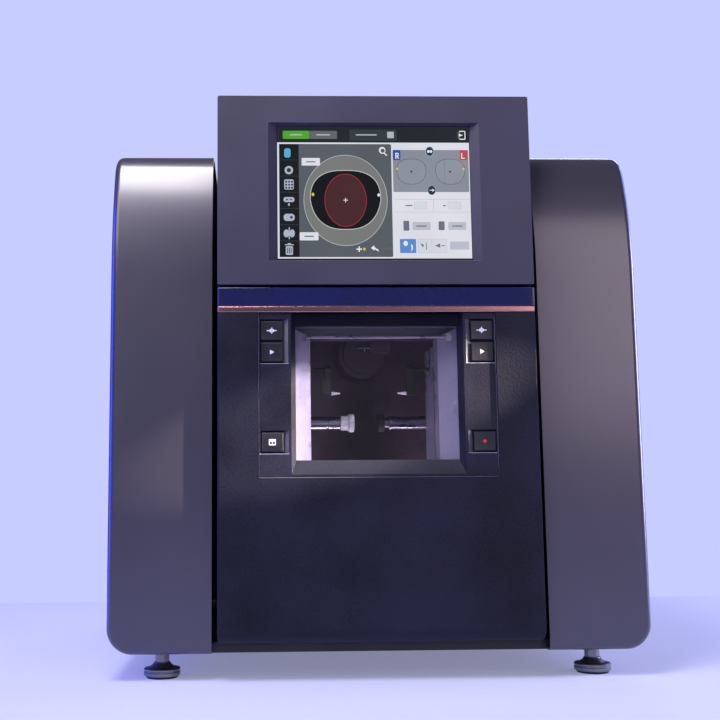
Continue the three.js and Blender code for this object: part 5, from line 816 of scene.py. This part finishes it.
edge_spots = [(side * (panel_high.x - PANEL_SIDE_IN), row) for side in (-1, 1) for row in rows]
fan_spots = [(x, z) for x in (fan_low.x + FAN_IN, fan_high.x - FAN_IN)
             for z in (fan_low.z + FAN_IN, fan_high.z - FAN_IN)]
inlet_spots = [(x, (inlet_low.z + inlet_high.z) / 2)
               for x in (inlet_low.x - INLET_OUT, inlet_high.x + INLET_OUT)]
screws("rear_panel_screws", "chassis", edge_spots, panel_high.y, 1, 3.2, black_steel)
screws("fan_screws", "chassis", fan_spots, panel_high.y, 1, 2.6, black_steel)
screws("inlet_screws", "chassis", inlet_spots, panel_high.y, 1, 2.2, black_steel)


# Stage: a pale laminate floor that ends a little behind the machine, and large soft lamps, in metres.
# The camera alone sees a pale room behind the floor, and a share of the floor's colour doesn't depend on the
# lamps, so that the laminate looks even and keeps the machine's shadow.
FLOOR_HALF, FLOOR_BACK, FLOOR_FRONT, FLOOR_GLOW, FLOOR_SHADE = 6, 0.56, -5, 0.35, "cfd2fa"
sheet = bmesh.new()
corners = strip(-FLOOR_HALF, FLOOR_HALF, FLOOR_FRONT, FLOOR_BACK)
sheet.faces.new([sheet.verts.new((x, y, 0)) for x, y in corners])
mesh = bpy.data.meshes.new("floor")
sheet.to_mesh(mesh)
sheet.free()
laminate = finished("pale_table_laminate", FLOOR_SHADE, "ced1f9", (0.83, 0.87), 3, 0.01, patch=200,
                    Specular_IOR_Level=0.1)
tree = laminate.node_tree
ray = add(tree, "ShaderNodeLightPath")
seen = add(tree, "ShaderNodeMath", {"operation": "MAXIMUM"},
           {0: ray.outputs["Is Camera Ray"], 1: ray.outputs["Is Glossy Ray"]})
share = add(tree, "ShaderNodeMath", {"operation": "MULTIPLY", 1: FLOOR_GLOW}, {0: seen.outputs[0]})
plain = add(tree, "ShaderNodeEmission", {"Color": colour(FLOOR_SHADE)})
mixed = add(tree, "ShaderNodeMixShader", None,
            {0: share.outputs[0], 1: tree.nodes["Principled BSDF"].outputs[0], 2: plain.outputs[0]})
tree.links.new(mixed.outputs[0], tree.nodes["Material Output"].inputs["Surface"])
mesh.materials.append(laminate)
table = bpy.data.objects.new("floor", mesh)
scene.collection.objects.link(table)


def lamp(name, place, target, size, power, tint):
    """A soft lamp of that width and height, in watts, that faces a point; without a size, a narrow spot."""
    light = bpy.data.lights.new(name, "AREA" if size else "SPOT")
    light.energy = power
    light.color = colour(tint)[:3]
    if size:
        light.shape = "RECTANGLE"
        light.size, light.size_y = size
    else:
        light.spot_size, light.spot_blend, light.shadow_soft_size = math.radians(4.6), 0.08, 0.012
    holder = bpy.data.objects.new(name, light)
    holder.location = place
    holder.rotation_euler = (Vector(target) - Vector(place)).to_track_quat("-Z", "Y").to_euler()
    scene.collection.objects.link(holder)


MIDDLE = (0, 0, 0.3)
lamp("key_lamp", (-1.3, -1.7, 1.7), MIDDLE, (1.2, 1.0), 13, "fff9f4")
lamp("top_lamp", (-0.44, -0.78, 1.7), (-0.25, -0.15, 0.5), (0.6, 0.75), 26, "fffbf6")
lamp("left_card", (-1.3, -3.0, 1.45), (-1.3, 0, 1.45), (1.6, 1.9), 7, "e4e2ff")
lamp("right_card", (1.6, -3.0, 1.4), (1.6, 0, 1.4), (1.3, 2.0), 25, "ffecee")
lamp("right_side_lamp", (1.9, 0.05, 0.55), (0, -0.2, 0.3), (0.5, 0.9), 30, "c8ccff")
lamp("left_edge_lamp", (-1.8, -0.12, 0.6), MIDDLE, (0.5, 1.2), 40, "2444ff")
lamp("right_edge_lamp", (1.7, 0.5, 1.2), MIDDLE, (0.5, 1.0), 8, "8f9cff")
lamp("rear_lamp", (1.1, 2.4, 1.6), MIDDLE, (1.4, 1.2), 22, "e8ebff")
lamp("chamber_lamp", (0, -0.12, 0.14), (0, -0.02, 0.26), (0.16, 0.03), 0.45, "ecdcea")
lamp("window_spot", (1.42, -0.773, 0.695), (-0.077, -0.248, 0.258), None, 620, "ffeccb")
world = bpy.data.worlds.new("room")
world.use_nodes = True
tree = world.node_tree
sky = tree.nodes["Background"]
sky.inputs["Color"].default_value = colour("cfd4fb")
sky.inputs["Strength"].default_value = 0.16
backdrop = add(tree, "ShaderNodeBackground", {"Color": colour("c7cdff"), "Strength": 1})
ray = add(tree, "ShaderNodeLightPath")
room = add(tree, "ShaderNodeMixShader", None,
           {0: ray.outputs["Is Camera Ray"], 1: sky.outputs[0], 2: backdrop.outputs[0]})
tree.links.new(room.outputs[0], tree.nodes["World Output"].inputs["Surface"])
scene.world = world
scene.view_settings.view_transform = "Standard"
